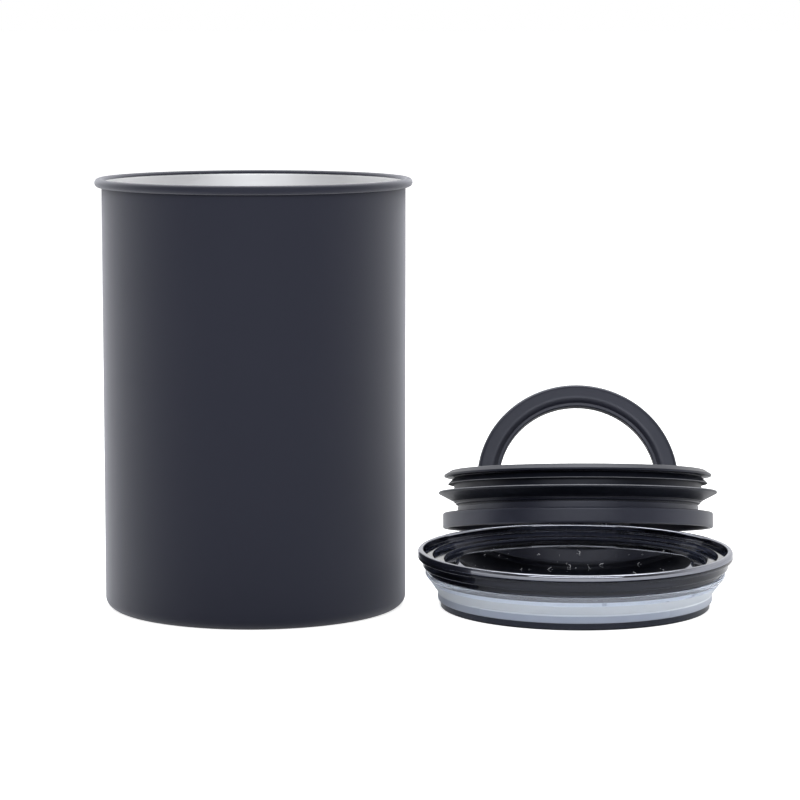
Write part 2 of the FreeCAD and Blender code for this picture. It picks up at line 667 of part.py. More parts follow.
def valve_spring():
    """Compression coil between the guide and the cap, at its shown length."""
    bottom = GUIDE_TOP + SPRING_WIRE_RADIUS + SPRING_GAP
    top = cap_top() - CAP_THICK - SPRING_WIRE_RADIUS - SPRING_GAP
    turn = 2.0 * math.pi
    climb = (top - bottom) / (turn * SPRING_TURNS)

    def at(angle):
        return FreeCAD.Vector(
            SPRING_RADIUS * math.cos(angle), SPRING_RADIUS * math.sin(angle), bottom + climb * angle
        )

    def way(angle):
        across = FreeCAD.Vector(-SPRING_RADIUS * math.sin(angle), SPRING_RADIUS * math.cos(angle), climb)
        return across.normalize()

    spans = round(SPRING_TURNS * SPRING_SPANS_PER_TURN)
    angles = [turn * SPRING_TURNS * i / spans for i in range(spans + 1)]
    edges = []
    for first, last in zip(angles, angles[1:]):
        edges += biarc(at(first), way(first), at(last), way(last))
    ring = Part.Wire([Part.Circle(at(0.0), way(0.0), SPRING_WIRE_RADIUS).toShape()])
    gaps = [
        (at(a) - at(b)).Length - 2.0 * SPRING_WIRE_RADIUS
        for a in angles for b in angles if b - a > turn / 2.0
    ]
    print("valve spring: least gap between turns %.2f mm" % min(gaps))
    return Part.Wire(edges).makePipeShell([ring], True, False)


def leaned(shape):
    """Rotate a handle piece back about the axle to its shown lean."""
    shape.rotate(FreeCAD.Vector(0, 0, AXLE_HEIGHT), RIGHT, -HANDLE_LEAN_DEG)
    return shape


def plunger_placed(shape):
    """Tip a plunger piece back and set it on the outer lid's rear rim."""
    shape.rotate(FreeCAD.Vector(), RIGHT, -math.degrees(TILT))
    shape.translate(FreeCAD.Vector(PLUNGER_X, PLUNGER_Y, PLUNGER_Z))
    return shape


def lid_placed(shape):
    """Lay an outer-lid piece flat beside the canister."""
    shape.translate(FreeCAD.Vector(LID_CENTRE_X, LID_CENTRE_Y, 0))
    return shape


def pieces():
    """Return every separate piece in place, by node name."""
    found = {"canister_shell": canister_shell()}
    for make in (outer_lid_shell, outer_lid_gasket):
        found[make.__name__] = lid_placed(make())
    fixed = (plunger_base, base_seal, plunger_top, wiper_gasket, valve_guide, valve_spring)
    for make in fixed + (valve_stem, valve_seal, stem_cap):
        found[make.__name__] = plunger_placed(make())
    for make in (handle, pivot_axle, valve_cam):
        found[make.__name__] = plunger_placed(leaned(make()))
    return found


def main():
    """Write one STEP file per piece."""
    os.makedirs("parts", exist_ok=True)
    for name, shape in pieces().items():
        shape.exportStep(os.path.join("parts", name + ".step"))


if __name__ == "__main__":
    main()
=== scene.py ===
"""Coffee canister with a valved plunger lid and a smoke-grey outer lid: looks, studio and camera.

Sizes are in millimetres and become metres where a mesh is made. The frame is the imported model's:
the origin is the centre of the canister's foot ring, +Z is up and -Y is the front.
"""
from __future__ import annotations

import json
import logging
import math
from abc import ABC, abstractmethod
from collections.abc import Mapping, Sequence
from dataclasses import dataclass, field
from enum import Enum
from typing import Any

import bmesh
import bpy
from mathutils import Matrix, Vector

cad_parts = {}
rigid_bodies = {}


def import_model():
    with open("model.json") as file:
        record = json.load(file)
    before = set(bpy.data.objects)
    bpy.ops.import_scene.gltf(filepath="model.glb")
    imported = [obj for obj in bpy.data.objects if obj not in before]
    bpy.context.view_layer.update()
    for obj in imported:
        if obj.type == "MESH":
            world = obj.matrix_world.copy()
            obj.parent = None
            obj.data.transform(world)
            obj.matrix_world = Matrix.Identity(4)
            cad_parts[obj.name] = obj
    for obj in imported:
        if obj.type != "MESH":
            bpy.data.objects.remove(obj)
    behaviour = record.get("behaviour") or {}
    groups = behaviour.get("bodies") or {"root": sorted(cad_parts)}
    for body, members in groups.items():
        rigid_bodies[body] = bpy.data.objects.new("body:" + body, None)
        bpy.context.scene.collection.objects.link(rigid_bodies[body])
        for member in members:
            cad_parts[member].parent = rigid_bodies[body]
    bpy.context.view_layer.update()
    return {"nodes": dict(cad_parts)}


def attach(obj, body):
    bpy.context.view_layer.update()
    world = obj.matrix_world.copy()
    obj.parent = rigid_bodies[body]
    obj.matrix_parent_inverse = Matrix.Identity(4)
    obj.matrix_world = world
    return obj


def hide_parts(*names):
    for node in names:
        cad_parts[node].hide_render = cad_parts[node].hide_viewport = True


Span = tuple[float, float]
Triple = tuple[float, float, float]
Colour = Triple
Shades = tuple[Colour, Colour]
Socket = bpy.types.NodeSocket
Mesh = bpy.types.Mesh
Material = bpy.types.Material

LOG = logging.getLogger("coffee_canister")
MM = 0.001
TURN = 2.0 * math.pi
SMOOTH_LIMIT = math.radians(32.0)
MERGE_REACH = 0.002 * MM
SLIVER_REACH = 0.0005 * MM
BEVEL_STEPS = 2
SWAP_X_AND_Z = Matrix(((0, 0, 1, 0), (0, 1, 0, 0), (1, 0, 0, 0), (0, 0, 0, 1)))

COOL_GLOSS: Colour = (0.86, 0.885, 1.0)
SILICONE_IOR = 1.41
# Places of the colour sockets of a mix node, which has sockets for each data type
MIX_FIRST, MIX_SECOND, MIX_RESULT = 6, 7, 2
# Places of a random value node's sockets for a vector's most, a number's least, and their results
MOST_VECTOR, LEAST_NUMBER, RANDOM_VECTOR, RANDOM_NUMBER = 1, 2, 0, 1


class BodyName(str, Enum):
    """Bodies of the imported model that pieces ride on."""

    CANISTER = "canister"
    OUTER_LID = "outer_lid"
    PLUNGER_LID = "plunger_lid"
    VALVE = "valve"
    HANDLE = "handle"


class SlotName(str, Enum):
    """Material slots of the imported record."""

    COAT = "shell_coat"
    SMOKE = "smoke_plastic"
    CLEAR_SILICONE = "clear_silicone"
    BLACK_PLASTIC = "black_plastic"
    BLACK_SILICONE = "black_silicone"
    STEEL = "steel"


class Zone(Enum):
    """Which of a turned piece's two finishes a stretch of its section takes."""

    MAIN = 0.0
    SECOND = 1.0


class Cause(Enum):
    """Result of a shared effect that varies a finish."""

    DRIFT = "Drift"
    MASK = "Mask"
    STREAK = "Streak"


class NodeGraph:
    """Thin helper that adds and wires nodes in any node tree."""

    def __init__(self, tree: bpy.types.NodeTree) -> None:
        """Keep the tree that the nodes go into."""
        self.tree = tree

    def fill(self, node: bpy.types.Node, values: Mapping[Any, Any]) -> None:
        """Set a node's inputs to constants, or wire sockets to them.

        Args:
            node: The node.
            values: A constant or a socket by the input's name or place.
        """
        for key, value in values.items():
            if isinstance(value, Socket):
                self.tree.links.new(value, node.inputs[key])
            else:
                node.inputs[key].default_value = value

    def add(self, kind: str, values: Mapping[Any, Any] | None = None, **settings: Any) -> bpy.types.Node:
        """Add one node.

        Args:
            kind: The node's type name.
            values: A constant or a socket by the input's name or place.
            **settings: Properties of the node itself.

        Returns:
            The new node.
        """
        node = self.tree.nodes.new(kind)
        for name, value in settings.items():
            setattr(node, name, value)
        self.fill(node, values or {})
        return node

    def math(self, operation: str, first: Any, second: Any = 0.0) -> Socket:
        """Add a math node on sockets or numbers and return the socket that carries its result."""
        return self.add("ShaderNodeMath", {0: first, 1: second}, operation=operation).outputs["Value"]

    def ranged(self, value: Socket, low: float, high: float,
               from_low: float = 0.0, from_high: float = 1.0) -> Socket:
        """Map a value that goes from from_low to from_high onto low to high, and return its socket."""
        limits = {"From Min": from_low, "From Max": from_high, "To Min": low, "To Max": high}
        return self.add("ShaderNodeMapRange", {"Value": value, **limits}).outputs["Result"]

    def mixed(self, share: Socket, first: Colour, second: Colour) -> Socket:
        """Mix two colours by the share of the second, and return the socket that carries the result."""
        values = {"Factor": share, MIX_FIRST: (*first, 1.0), MIX_SECOND: (*second, 1.0)}
        return self.add("ShaderNodeMix", values, data_type="RGBA").outputs[MIX_RESULT]

    def noise(self, values: Mapping[str, Any], **settings: Any) -> Socket:
        """Add a noise texture and return the socket that carries its value."""
        return self.add("ShaderNodeTexNoise", values, **settings).outputs["Fac"]


class EffectShelf:
    """Shader groups that several finishes share. They give masks and heights only."""

    mark_edge: Span = (-0.05, 0.2)
    streak_scale = 240.0

    def __init__(self) -> None:
        """Build the groups once."""
        self.grain = self._grain()
        self.marks = self._marks()
        self.rings = self._rings()

    @staticmethod
    def _start(name: str, inputs: Mapping[str, float],
               outputs: Sequence[str]) -> tuple[NodeGraph, Mapping[str, Socket], Socket]:
        """Open a shader group with float sockets.

        Args:
            name: The group's name.
            inputs: Default values by input name.
            outputs: Output names.

        Returns:
            A graph on the new group, the group's inputs by name, and the object's own coordinates.
        """
        tree = bpy.data.node_groups.new(name, "ShaderNodeTree")
        for label, value in inputs.items():
            socket = tree.interface.new_socket(label, in_out="INPUT", socket_type="NodeSocketFloat")
            socket.default_value = value
        for label in outputs:
            tree.interface.new_socket(label, in_out="OUTPUT", socket_type="NodeSocketFloat")
        graph = NodeGraph(tree)
        place = graph.add("ShaderNodeTexCoord")
        return graph, graph.add("NodeGroupInput").outputs, place.outputs["Object"]

    def _grain(self) -> bpy.types.NodeTree:
        """Make fine moulded or sprayed texture, with a slow drift for colour and gloss.

        Returns:
            The shader group.
        """
        defaults = {"Scale": 3500.0, "Drift Scale": 22.0}
        graph, given, place = self._start("surface_grain", defaults, ("Height", "Drift"))
        fine = {"Vector": place, "Scale": given["Scale"], "Detail": 3.0, "Roughness": 0.6}
        slow = {"Vector": place, "Scale": given["Drift Scale"], "Detail": 4.0, "Roughness": 0.55}
        graph.add("NodeGroupOutput", {"Height": graph.noise(fine), "Drift": graph.noise(slow)})
        return graph.tree

    def _marks(self) -> bpy.types.NodeTree:
        """Make soft patches left by handling, as a mask.

        Returns:
            The shader group.
        """
        graph, given, place = self._start("handling_marks", {"Scale": 34.0, "Cover": 0.5}, ("Mask",))
        patches = {
            "Vector": place, "Scale": given["Scale"], "Detail": 5.0, "Roughness": 0.62, "Distortion": 0.8,
        }
        over = graph.math("SUBTRACT", graph.noise(patches), given["Cover"])
        graph.add("NodeGroupOutput", {"Mask": graph.ranged(over, 0.0, 1.0, *self.mark_edge)})
        return graph.tree

    def _rings(self) -> bpy.types.NodeTree:
        """Make fine lines that run round the canister's axis, as a spun or brushed wall has.

        Returns:
            The shader group.
        """
        graph, given, place = self._start("turned_rings", {"Scale": 2600.0}, ("Height", "Streak"))
        parts = graph.add("ShaderNodeSeparateXYZ", {"Vector": place}).outputs
        squares = [graph.math("MULTIPLY", parts[axis], parts[axis]) for axis in "XY"]
        radius = graph.math("SQRT", graph.math("ADD", *squares))
        line = graph.add("ShaderNodeCombineXYZ", {"X": radius, "Y": parts["Z"]}).outputs["Vector"]
        fine = {"Vector": line, "Scale": given["Scale"], "Detail": 2.0}
        broad = {"Vector": line, "Scale": self.streak_scale, "Detail": 3.0}
        graph.add("NodeGroupOutput", {
            "Height": graph.noise(fine, noise_dimensions="2D"),
            "Streak": graph.noise(broad, noise_dimensions="2D"),
        })
        return graph.tree


@dataclass(frozen=True)
class Finish(ABC):
    """One surface finish: a principled shader that the shared effects vary.

    Attributes:
        name: The material's name.
        colours: Colours at the least and the most of the effect that mixes them.
        colour_by: That effect.
        roughness: Lowest and highest roughness.
        rough_by: Effect that goes from one to the other.
        rough_from: Values of that effect that give the lowest and the highest.
        relief: Strength of the fine relief, and its height in millimetres.
        grain: Scale of the grain and of its slow drift, where the finish has one.
        marks: Scale of the handling marks, and the level from which they show, where it has them.
        rings: Scale of the turned lines, where it has them.
    """

    name: str
    colours: Shades | None = None
    colour_by: Cause = Cause.DRIFT
    roughness: Span | None = None
    rough_by: Cause = Cause.DRIFT
    rough_from: Span = (0.0, 1.0)
    relief: Span | None = None
    grain: Span | None = None
    marks: Span | None = None
    rings: tuple[float] | None = None

    @abstractmethod
    def constants(self) -> dict[str, Any]:
        """Return the shader's fixed inputs by name."""

    def make(self, effects: EffectShelf) -> Material:
        """Build the finish as a material.

        Args:
            effects: The shared shader groups.

        Returns:
            The new material.
        """
        material = bpy.data.materials.new(self.name)
        material.use_nodes = True
        graph = NodeGraph(material.node_tree)
        found: dict[str, Socket] = {}
        for tree, scales in (
            (effects.grain, self.grain), (effects.marks, self.marks), (effects.rings, self.rings),
        ):
            if scales:
                group = graph.add("ShaderNodeGroup", dict(enumerate(scales)), node_tree=tree)
                found.update(group.outputs.items())
        values = self.constants()
        if self.colours:
            values["Base Color"] = graph.mixed(found[self.colour_by.value], *self.colours)
        if self.roughness:
            level = found[self.rough_by.value]
            values["Roughness"] = graph.ranged(level, *self.roughness, *self.rough_from)
        if self.relief:
            strength, depth = self.relief
            bump = {"Strength": strength, "Distance": depth * MM, "Height": found["Height"]}
            values["Normal"] = graph.add("ShaderNodeBump", bump).outputs["Normal"]
        graph.fill(material.node_tree.nodes["Principled BSDF"], values)
        return material


@dataclass(frozen=True)
class PowderCoat(Finish):
    """Matte sprayed coat with a very fine orange peel."""

    name: str = "charcoal_powder_coat"
    colours: Shades | None = ((0.0150, 0.0165, 0.0290), (0.0170, 0.0186, 0.0318))
    roughness: Span | None = (0.50, 0.56)
    rough_by: Cause = Cause.MASK
    relief: Span | None = (0.22, 0.05)
    grain: Span | None = (4200.0, 16.0)
    marks: Span | None = (20.0, 0.55)

    def constants(self) -> dict[str, Any]:
        """Return a dull surface with the soft sheen that lightens its edges."""
        return {
            "Specular IOR Level": 0.15, "Sheen Weight": 0.53, "Sheen Roughness": 0.47,
            "Sheen Tint": (0.93, 0.935, 1.0, 1.0),
        }


@dataclass(frozen=True)
class SpunSteel(Finish):
    """Bare steel with fine lines round its axis."""

    name: str = "spun_steel"
    colours: Shades | None = ((0.87, 0.87, 0.88), (0.94, 0.94, 0.945))
    colour_by: Cause = Cause.STREAK
    roughness: Span | None = (0.48, 0.60)
    rough_by: Cause = Cause.STREAK
    relief: Span | None = (0.5, 0.012)
    rings: tuple[float] | None = (2600.0,)

    def constants(self) -> dict[str, Any]:
        """Return plain metal."""
        return {"Metallic": 1.0}


@dataclass(frozen=True)
class SmokePlastic(Finish):
    """Polished see-through plastic with a dark grey tint, hazed a little where it has been handled.

    Attributes:
        tint: Colour that light takes through one wall.
        ior: Refractive index.
        gloss: Strength of the reflections.
    """

    name: str = "smoke_plastic_polished"
    roughness: Span | None = (0.03, 0.09)
    rough_by: Cause = Cause.MASK
    relief: Span | None = (0.02, 0.01)
    grain: Span | None = (160.0, 12.0)
    marks: Span | None = (60.0, 0.5)
    tint: Colour = (0.0125, 0.0145, 0.0235)
    ior: float = 1.5
    gloss: float = 0.25

    def constants(self) -> dict[str, Any]:
        """Return tinted glass with a cool gloss."""
        return {
            "Base Color": (*self.tint, 1.0), "Transmission Weight": 1.0, "IOR": self.ior,
            "Specular IOR Level": self.gloss, "Specular Tint": (*COOL_GLOSS, 1.0),
        }


@dataclass(frozen=True)
class FrostedSilicone(Finish):
    """Translucent white silicone with a soft skin that has picked up a little dirt.

    Attributes:
        through: Share of the light that passes through.
        ior: Refractive index.
    """

    name: str = "frosted_silicone"
    colours: Shades | None = ((0.85, 0.915, 1.0), (0.81, 0.88, 0.975))
    roughness: Span | None = (0.38, 0.52)
    relief: Span | None = (0.06, 0.02)
    grain: Span | None = (900.0, 40.0)
    through: float = 0.35
    ior: float = SILICONE_IOR

    def constants(self) -> dict[str, Any]:
        """Return the share of light that passes through, and the index."""
        return {"Transmission Weight": self.through, "IOR": self.ior}


@dataclass(frozen=True)
class SatinPlastic(Finish):
    """Black moulded plastic with a satin grain, lighter where it has been handled.

    Attributes:
        gloss: Strength of the reflections.
    """

    name: str = "black_satin_plastic"
    colours: Shades | None = ((0.0105, 0.0115, 0.0205), (0.0140, 0.0151, 0.0255))
    colour_by: Cause = Cause.MASK
    roughness: Span | None = (0.32, 0.42)
    rough_from: Span = (0.3, 0.7)
    relief: Span | None = (0.2, 0.03)
    grain: Span | None = (2600.0, 30.0)
    marks: Span | None = (48.0, 0.52)
    gloss: float = 0.3

    def constants(self) -> dict[str, Any]:
        """Return a cool gloss."""
        return {"Specular IOR Level": self.gloss, "Specular Tint": (*COOL_GLOSS, 1.0)}


@dataclass(frozen=True)
class SoftRubber(Finish):
    """Black silicone with a dry skin that dust clings to."""

    name: str = "black_silicone_skin"
    colours: Shades | None = ((0.0080, 0.0092, 0.0150), (0.0130, 0.0145, 0.0215))
    colour_by: Cause = Cause.MASK
    roughness: Span | None = (0.36, 0.5)
    rough_from: Span = (0.3, 0.7)
    relief: Span | None = (0.15, 0.03)
    grain: Span | None = (1800.0, 60.0)
    marks: Span | None = (90.0, 0.55)

    def constants(self) -> dict[str, Any]:
        """Return silicone's index with a cool gloss."""
        return {"IOR": SILICONE_IOR, "Specular Tint": (*COOL_GLOSS, 1.0)}


@dataclass(frozen=True)
class DustLint(Finish):
    """Pale dust and lint with darker bits."""

    name: str = "dust_lint"
    colours: Shades | None = ((0.55, 0.56, 0.60), (0.86, 0.87, 0.90))
    grain: Span | None = (900.0, 120.0)

    def constants(self) -> dict[str, Any]:
        """Return a dull surface."""
        return {"Roughness": 0.9, "Specular IOR Level": 0.2}


class FinishShelf:
    """Every finish, made once as a material."""

    def __init__(self) -> None:
        """Make the shared effects and the materials."""
        effects = EffectShelf()
        self.coat = PowderCoat().make(effects)
        self.spun_steel = SpunSteel().make(effects)
        self.drawn_steel = SpunSteel(
            name="drawn_steel", roughness=(0.2, 0.3), relief=(0.5, 0.006),
        ).make(effects)
        self.smoke = SmokePlastic().make(effects)
        # Copy of the smoke plastic that reflects far more strongly, on the rim's top edges and the disc's
        # bevel: a painted highlight.
        self.smoke_rim = SmokePlastic(
            name="smoke_plastic_rim", ior=3.4, gloss=0.75, roughness=(0.08, 0.15),
        ).make(effects)
        self.frosted = FrostedSilicone().make(effects)
        # Darker copy of the frosted silicone for the ring's band: painted shade under the lip and over the
        # dark skirt.
        self.frosted_painted_shade = FrostedSilicone(
            name="frosted_silicone_painted_shade", colours=((0.44, 0.49, 0.60), (0.39, 0.44, 0.55)), through=0.2,
        ).make(effects)
        self.thin_frosted = FrostedSilicone(
            name="frosted_silicone_thin", colours=((0.88, 0.91, 0.97), (0.85, 0.885, 0.955)), through=0.86,
            roughness=(0.16, 0.24), ior=1.12,
        ).make(effects)
        self.plastic = SatinPlastic().make(effects)
        self.grip_plastic = SatinPlastic(
            name="black_grip_plastic", colours=((0.0185, 0.0195, 0.0310), (0.0225, 0.0236, 0.0355)),
            roughness=(0.34, 0.44), grain=(2000.0, 30.0), gloss=0.5,
        ).make(effects)
        # Lighter copy of the black plastic, used on the lower moulding's guide band.
        self.band_plastic = SatinPlastic(
            name="black_lighter_band_plastic", colours=((0.0285, 0.0302, 0.0450), (0.0345, 0.0365, 0.0530)),
            gloss=0.5,
        ).make(effects)
        self.rubber = SoftRubber().make(effects)
        # Lighter copy of the black silicone for the wiper's tips: a painted highlight.
        self.rubber_painted_highlight = SoftRubber(
            name="black_silicone_painted_highlight", colours=((0.20, 0.205, 0.225), (0.28, 0.285, 0.305)),
        ).make(effects)
        self.dust = DustLint().make(effects)


@dataclass(frozen=True)
class Spot:
    """One corner of a half section, in millimetres.

    Attributes:
        r: Distance from the axis.
        z: Height.
        fillet: Radius of the rounded corner.
        zone: Finish of the surface that starts here.
    """

    r: float
    z: float
    fillet: float = 0.0
    zone: Zone = Zone.MAIN

    def at(self) -> Vector:
        """Return the corner as a vector."""
        return Vector((self.r, self.z, 0.0))

    def length_to(self, other: Spot) -> float:
        """Return the distance to another spot."""
        return math.hypot(other.r - self.r, other.z - self.z)

    def part_way(self, other: Spot, share: float, zone: Zone = Zone.MAIN) -> Spot:
        """Return a sharp spot at a share of the way to another."""
        return Spot(self.r + (other.r - self.r) * share, self.z + (other.z - self.z) * share, 0.0, zone)

    def toward(self, other: Spot, distance: float) -> Spot:
        """Return a sharp spot at a distance from this one on the way to another."""
        return self.part_way(other, distance / self.length_to(other))


@dataclass(frozen=True)
class Section:
    """Half section of a turned piece.

    Attributes:
        spots: Corners in order.
        closed: True for a ring, False for a piece that starts and ends on the axis.
        arc_steps: Divisions of each rounded corner.
        hold: Distance from a corner at which a long run gets a point, so that it shades flat.
        long_run: Length, in holds, from which a run counts as long.
    """

    spots: tuple[Spot, ...]
    closed: bool = False
    arc_steps: int = 6
    hold: float = 0.4
    long_run: float = 4.0

    def _corner(self, index: int) -> list[Spot]:
        """Return one corner as points along its fillet.

        Args:
            index: The corner's place in the section.

        Returns:
            The corner itself where it is sharp, or the points of its arc.
        """
        spot = self.spots[index]
        count = len(self.spots)
        at_end = not self.closed and index in (0, count - 1)
        if spot.fillet <= 0.0 or at_end:
            return [spot]
        corner = spot.at()
        to_before = self.spots[index - 1].at() - corner
        to_after = self.spots[(index + 1) % count].at() - corner
        room = min(to_before.length, to_after.length) / 2.0
        to_before.normalize()
        to_after.normalize()
        half = to_before.angle(to_after) / 2.0
        reach = min(spot.fillet / math.tan(half), room)
        centre = corner + (to_before + to_after).normalized() * (reach / math.cos(half))
        start = corner + to_before * reach - centre
        end = corner + to_after * reach - centre
        sweep = start.angle(end)
        points = []
        for step in range(self.arc_steps + 1):
            share = step / self.arc_steps
            lean = start * math.sin((1.0 - share) * sweep) + end * math.sin(share * sweep)
            place = centre + lean / math.sin(sweep)
            points.append(Spot(place.x, place.y, 0.0, spot.zone))
        return points

    def points(self) -> list[Spot]:
        """Divide the section's fillets and hold its long runs at both ends.

        Returns:
            The points in order.
        """
        corners = [point for index in range(len(self.spots)) for point in self._corner(index)]
        ends = corners + corners[:1] if self.closed else corners
        held = []
        for first, last in zip(ends, ends[1:]):
            held.append(first)
            length = first.length_to(last)
            if length > self.long_run * self.hold:
                for share in (self.hold / length, 1.0 - self.hold / length):
                    held.append(first.part_way(last, share, first.zone))
        if not self.closed:
            held.append(corners[-1])
        return held


def section_mesh(points: Sequence[Spot], closed: bool, guide: float) -> Mesh:
    """Lay a section out as a line of edges for a sweep.

    Args:
        points: The section's points in millimetres.
        closed: True where the last point joins the first.
        guide: Radius of the curve that the section is swept along, in millimetres.

    Returns:
        A mesh of edges whose x is the distance from the guide and whose y is the depth.
    """
    mesh = bpy.data.meshes.new("section")
    spots = [((p.r - guide) * MM, -p.z * MM, 0.0) for p in points]
    edges = [(i, i + 1) for i in range(len(spots) - 1)]
    if closed:
        edges.append((len(spots) - 1, 0))
    mesh.from_pydata(spots, edges, [])
    zone = mesh.attributes.new("zone", "FLOAT", "POINT")
    for item, point in zip(zone.data, points):
        item.value = point.zone.value
    return mesh


def stood(name: str, data: bpy.types.ID) -> bpy.types.Object:
    """Put some data into the scene as a new object.

    Args:
        name: The object's name.
        data: Its mesh, lamp or camera.

    Returns:
        The new object.
    """
    made = bpy.data.objects.new(name, data)
    bpy.context.scene.collection.objects.link(made)
    return made


class PieceTree(ABC):
    """Geometry Nodes tree with named inputs that gives one plain mesh."""

    name = "piece"
    inputs: Mapping[str, str] = {}

    def __init__(self) -> None:
        """Build the tree with its sockets."""
        self.graph = NodeGraph(bpy.data.node_groups.new(self.name, "GeometryNodeTree"))
        face = self.graph.tree.interface
        face.new_socket("Geometry", in_out="INPUT", socket_type="NodeSocketGeometry")
        self.sockets = {
            label: face.new_socket(label, in_out="INPUT", socket_type=f"NodeSocket{kind}").identifier
            for label, kind in self.inputs.items()
        }
        face.new_socket("Geometry", in_out="OUTPUT", socket_type="NodeSocketGeometry")
        self.given = self.graph.add("NodeGroupInput").outputs
        self.graph.add("NodeGroupOutput", {"Geometry": self.layout()})

    @abstractmethod
    def layout(self) -> Socket:
        """Lay out the nodes and return the socket that carries the geometry."""

    def circle(self, sides: Any, radius: Any) -> Socket:
        """Draw a circle from numbers or sockets."""
        values = {"Resolution": sides, "Radius": radius}
        return self.graph.add("GeometryNodeCurvePrimitiveCircle", values).outputs["Curve"]

    def swept(self, path: Socket, profile: Socket, caps: bool = True) -> Socket:
        """Sweep a profile along a path, with both ends closed where caps is true."""
        values = {"Curve": path, "Profile Curve": profile, "Fill Caps": caps}
        return self.graph.add("GeometryNodeCurveToMesh", values).outputs["Mesh"]

    def section_swept(self, path: Socket, caps: bool) -> Socket:
        """Sweep the section that goes in along a level path.

        Args:
            path: The curve to follow.
            caps: True to close both ends.

        Returns:
            The swept mesh.
        """
        profile = self.graph.add("GeometryNodeMeshToCurve", {"Mesh": self.given["Geometry"]})
        level = self.graph.add("GeometryNodeSetCurveNormal", {"Curve": path}, mode="Z_UP")
        return self.swept(level.outputs["Curve"], profile.outputs["Curve"], caps)

    def placed(self, points: Socket, shape: Socket, turns: Socket, scale: Any = (1.0, 1.0, 1.0)) -> Socket:
        """Set a copy of a shape on each point.

        Args:
            points: The points.
            shape: The geometry to copy.
            turns: Each copy's turns about X, Y and Z.
            scale: Each copy's scale.

        Returns:
            The copies as instances.
        """
        turned = self.graph.add("FunctionNodeEulerToRotation", {"Euler": turns})
        return self.graph.add("GeometryNodeInstanceOnPoints", {
            "Points": points, "Instance": shape, "Rotation": turned.outputs["Rotation"], "Scale": scale,
        }).outputs["Instances"]

    def painted(self, geometry: Socket, label: str = "Finish", where: Any = True) -> Socket:
        """Realize instances and give the geometry one of the tree's materials.

        Args:
            geometry: The geometry so far.
            label: The input that holds the material.
            where: Which faces take it.

        Returns:
            The painted geometry.
        """
        solid = self.graph.add("GeometryNodeRealizeInstances", {"Geometry": geometry})
        return self.graph.add("GeometryNodeSetMaterial", {
            "Geometry": solid.outputs["Geometry"], "Selection": where, "Material": self.given[label],
        }).outputs["Geometry"]

    def grow(self, start: Mesh, values: Mapping[str, Any]) -> Mesh:
        """Run the tree on a mesh.

        Args:
            start: The mesh that goes in. It is used up.
            values: The tree's inputs by name.

        Returns:
            The result as a plain mesh.
        """
        holder = stood(self.name, start)
        modifier = holder.modifiers.new(self.name, "NODES")
        modifier.node_group = self.graph.tree
        for label, value in values.items():
            modifier[self.sockets[label]] = value
        depsgraph = bpy.context.evaluated_depsgraph_get()
        mesh = bpy.data.meshes.new_from_object(holder.evaluated_get(depsgraph))
        holder.modifiers.remove(modifier)
        bpy.data.objects.remove(holder)
        bpy.data.meshes.remove(start)
        return mesh


class TurningTree(PieceTree):
    """Turns a half section about Z and splits it between two finishes."""

    name = "turned_piece"
    inputs = {
        "Segments": "Int", "Guide Radius": "Float", "Main Finish": "Material", "Second Finish": "Material",
    }
    zone_limit = (Zone.MAIN.value + Zone.SECOND.value) / 2.0

    def layout(self) -> Socket:
        """Sweep the section round a circle and paint it by its zone.

        Returns:
            The socket that carries the painted mesh.
        """
        circle = self.circle(self.given["Segments"], self.given["Guide Radius"])
        main = self.painted(self.section_swept(circle, False), "Main Finish")
        zone = self.graph.add("GeometryNodeInputNamedAttribute", {"Name": "zone"}, data_type="FLOAT")
        pair = {"A": zone.outputs["Attribute"], "B": self.zone_limit}
        second = self.graph.add("FunctionNodeCompare", pair, data_type="FLOAT", operation="GREATER_THAN")
        return self.painted(main, "Second Finish", second.outputs["Result"])


class ArchTree(PieceTree):
    """Sweeps a closed section along part of a circle and caps both ends."""

    name = "arched_piece"
    inputs = {
        "Steps": "Int", "Guide Radius": "Float", "Start": "Float", "Sweep": "Float", "Finish": "Material",
    }

    def layout(self) -> Socket:
        """Sweep the section along an arc.

        Returns:
            The socket that carries the painted mesh.
        """
        given = self.given
        arc = self.graph.add("GeometryNodeCurveArc", {
            "Resolution": given["Steps"], "Radius": given["Guide Radius"],
            "Start Angle": given["Start"], "Sweep Angle": given["Sweep"],
        }, mode="RADIUS")
        return self.painted(self.section_swept(arc.outputs["Curve"], True))


class AroundTree(PieceTree):
    """Sets equal copies of a mesh about Z."""

    name = "repeated_about_axis"
    inputs = {"Count": "Int", "Finish": "Material"}

    def layout(self) -> Socket:
        """Turn one instance per point by its share of a full turn.

        Returns:
            The socket that carries the painted mesh.
        """
        graph, given = self.graph, self.given
        points = graph.add("GeometryNodePoints", {"Count": given["Count"]})
        index = graph.add("GeometryNodeInputIndex")
        share = graph.math("DIVIDE", index.outputs["Index"], given["Count"])
        angle = graph.add("ShaderNodeCombineXYZ", {"Z": graph.math("MULTIPLY", share, TURN)})
        copies = self.placed(points.outputs["Points"], given["Geometry"], angle.outputs["Vector"])
        return self.painted(copies)


class CoilTree(PieceTree):
    """Winds a round wire into a coil about Z."""

    name = "wound_coil"
    inputs = {
        "Turns": "Float", "Radius": "Float", "Height": "Float", "Wire Radius": "Float", "Finish": "Material",
    }
    turn_steps = 48
    wire_sides = 12

    def layout(self) -> Socket:
        """Sweep a circle along a spiral of one radius.

        Returns:
            The socket that carries the painted mesh.
        """
        given = self.given
        spiral = self.graph.add("GeometryNodeCurveSpiral", {
            "Resolution": self.turn_steps, "Rotations": given["Turns"], "Height": given["Height"],
            "Start Radius": given["Radius"], "End Radius": given["Radius"],
        })
        wire = self.circle(self.wire_sides, given["Wire Radius"])
        return self.painted(self.swept(spiral.outputs["Curve"], wire))


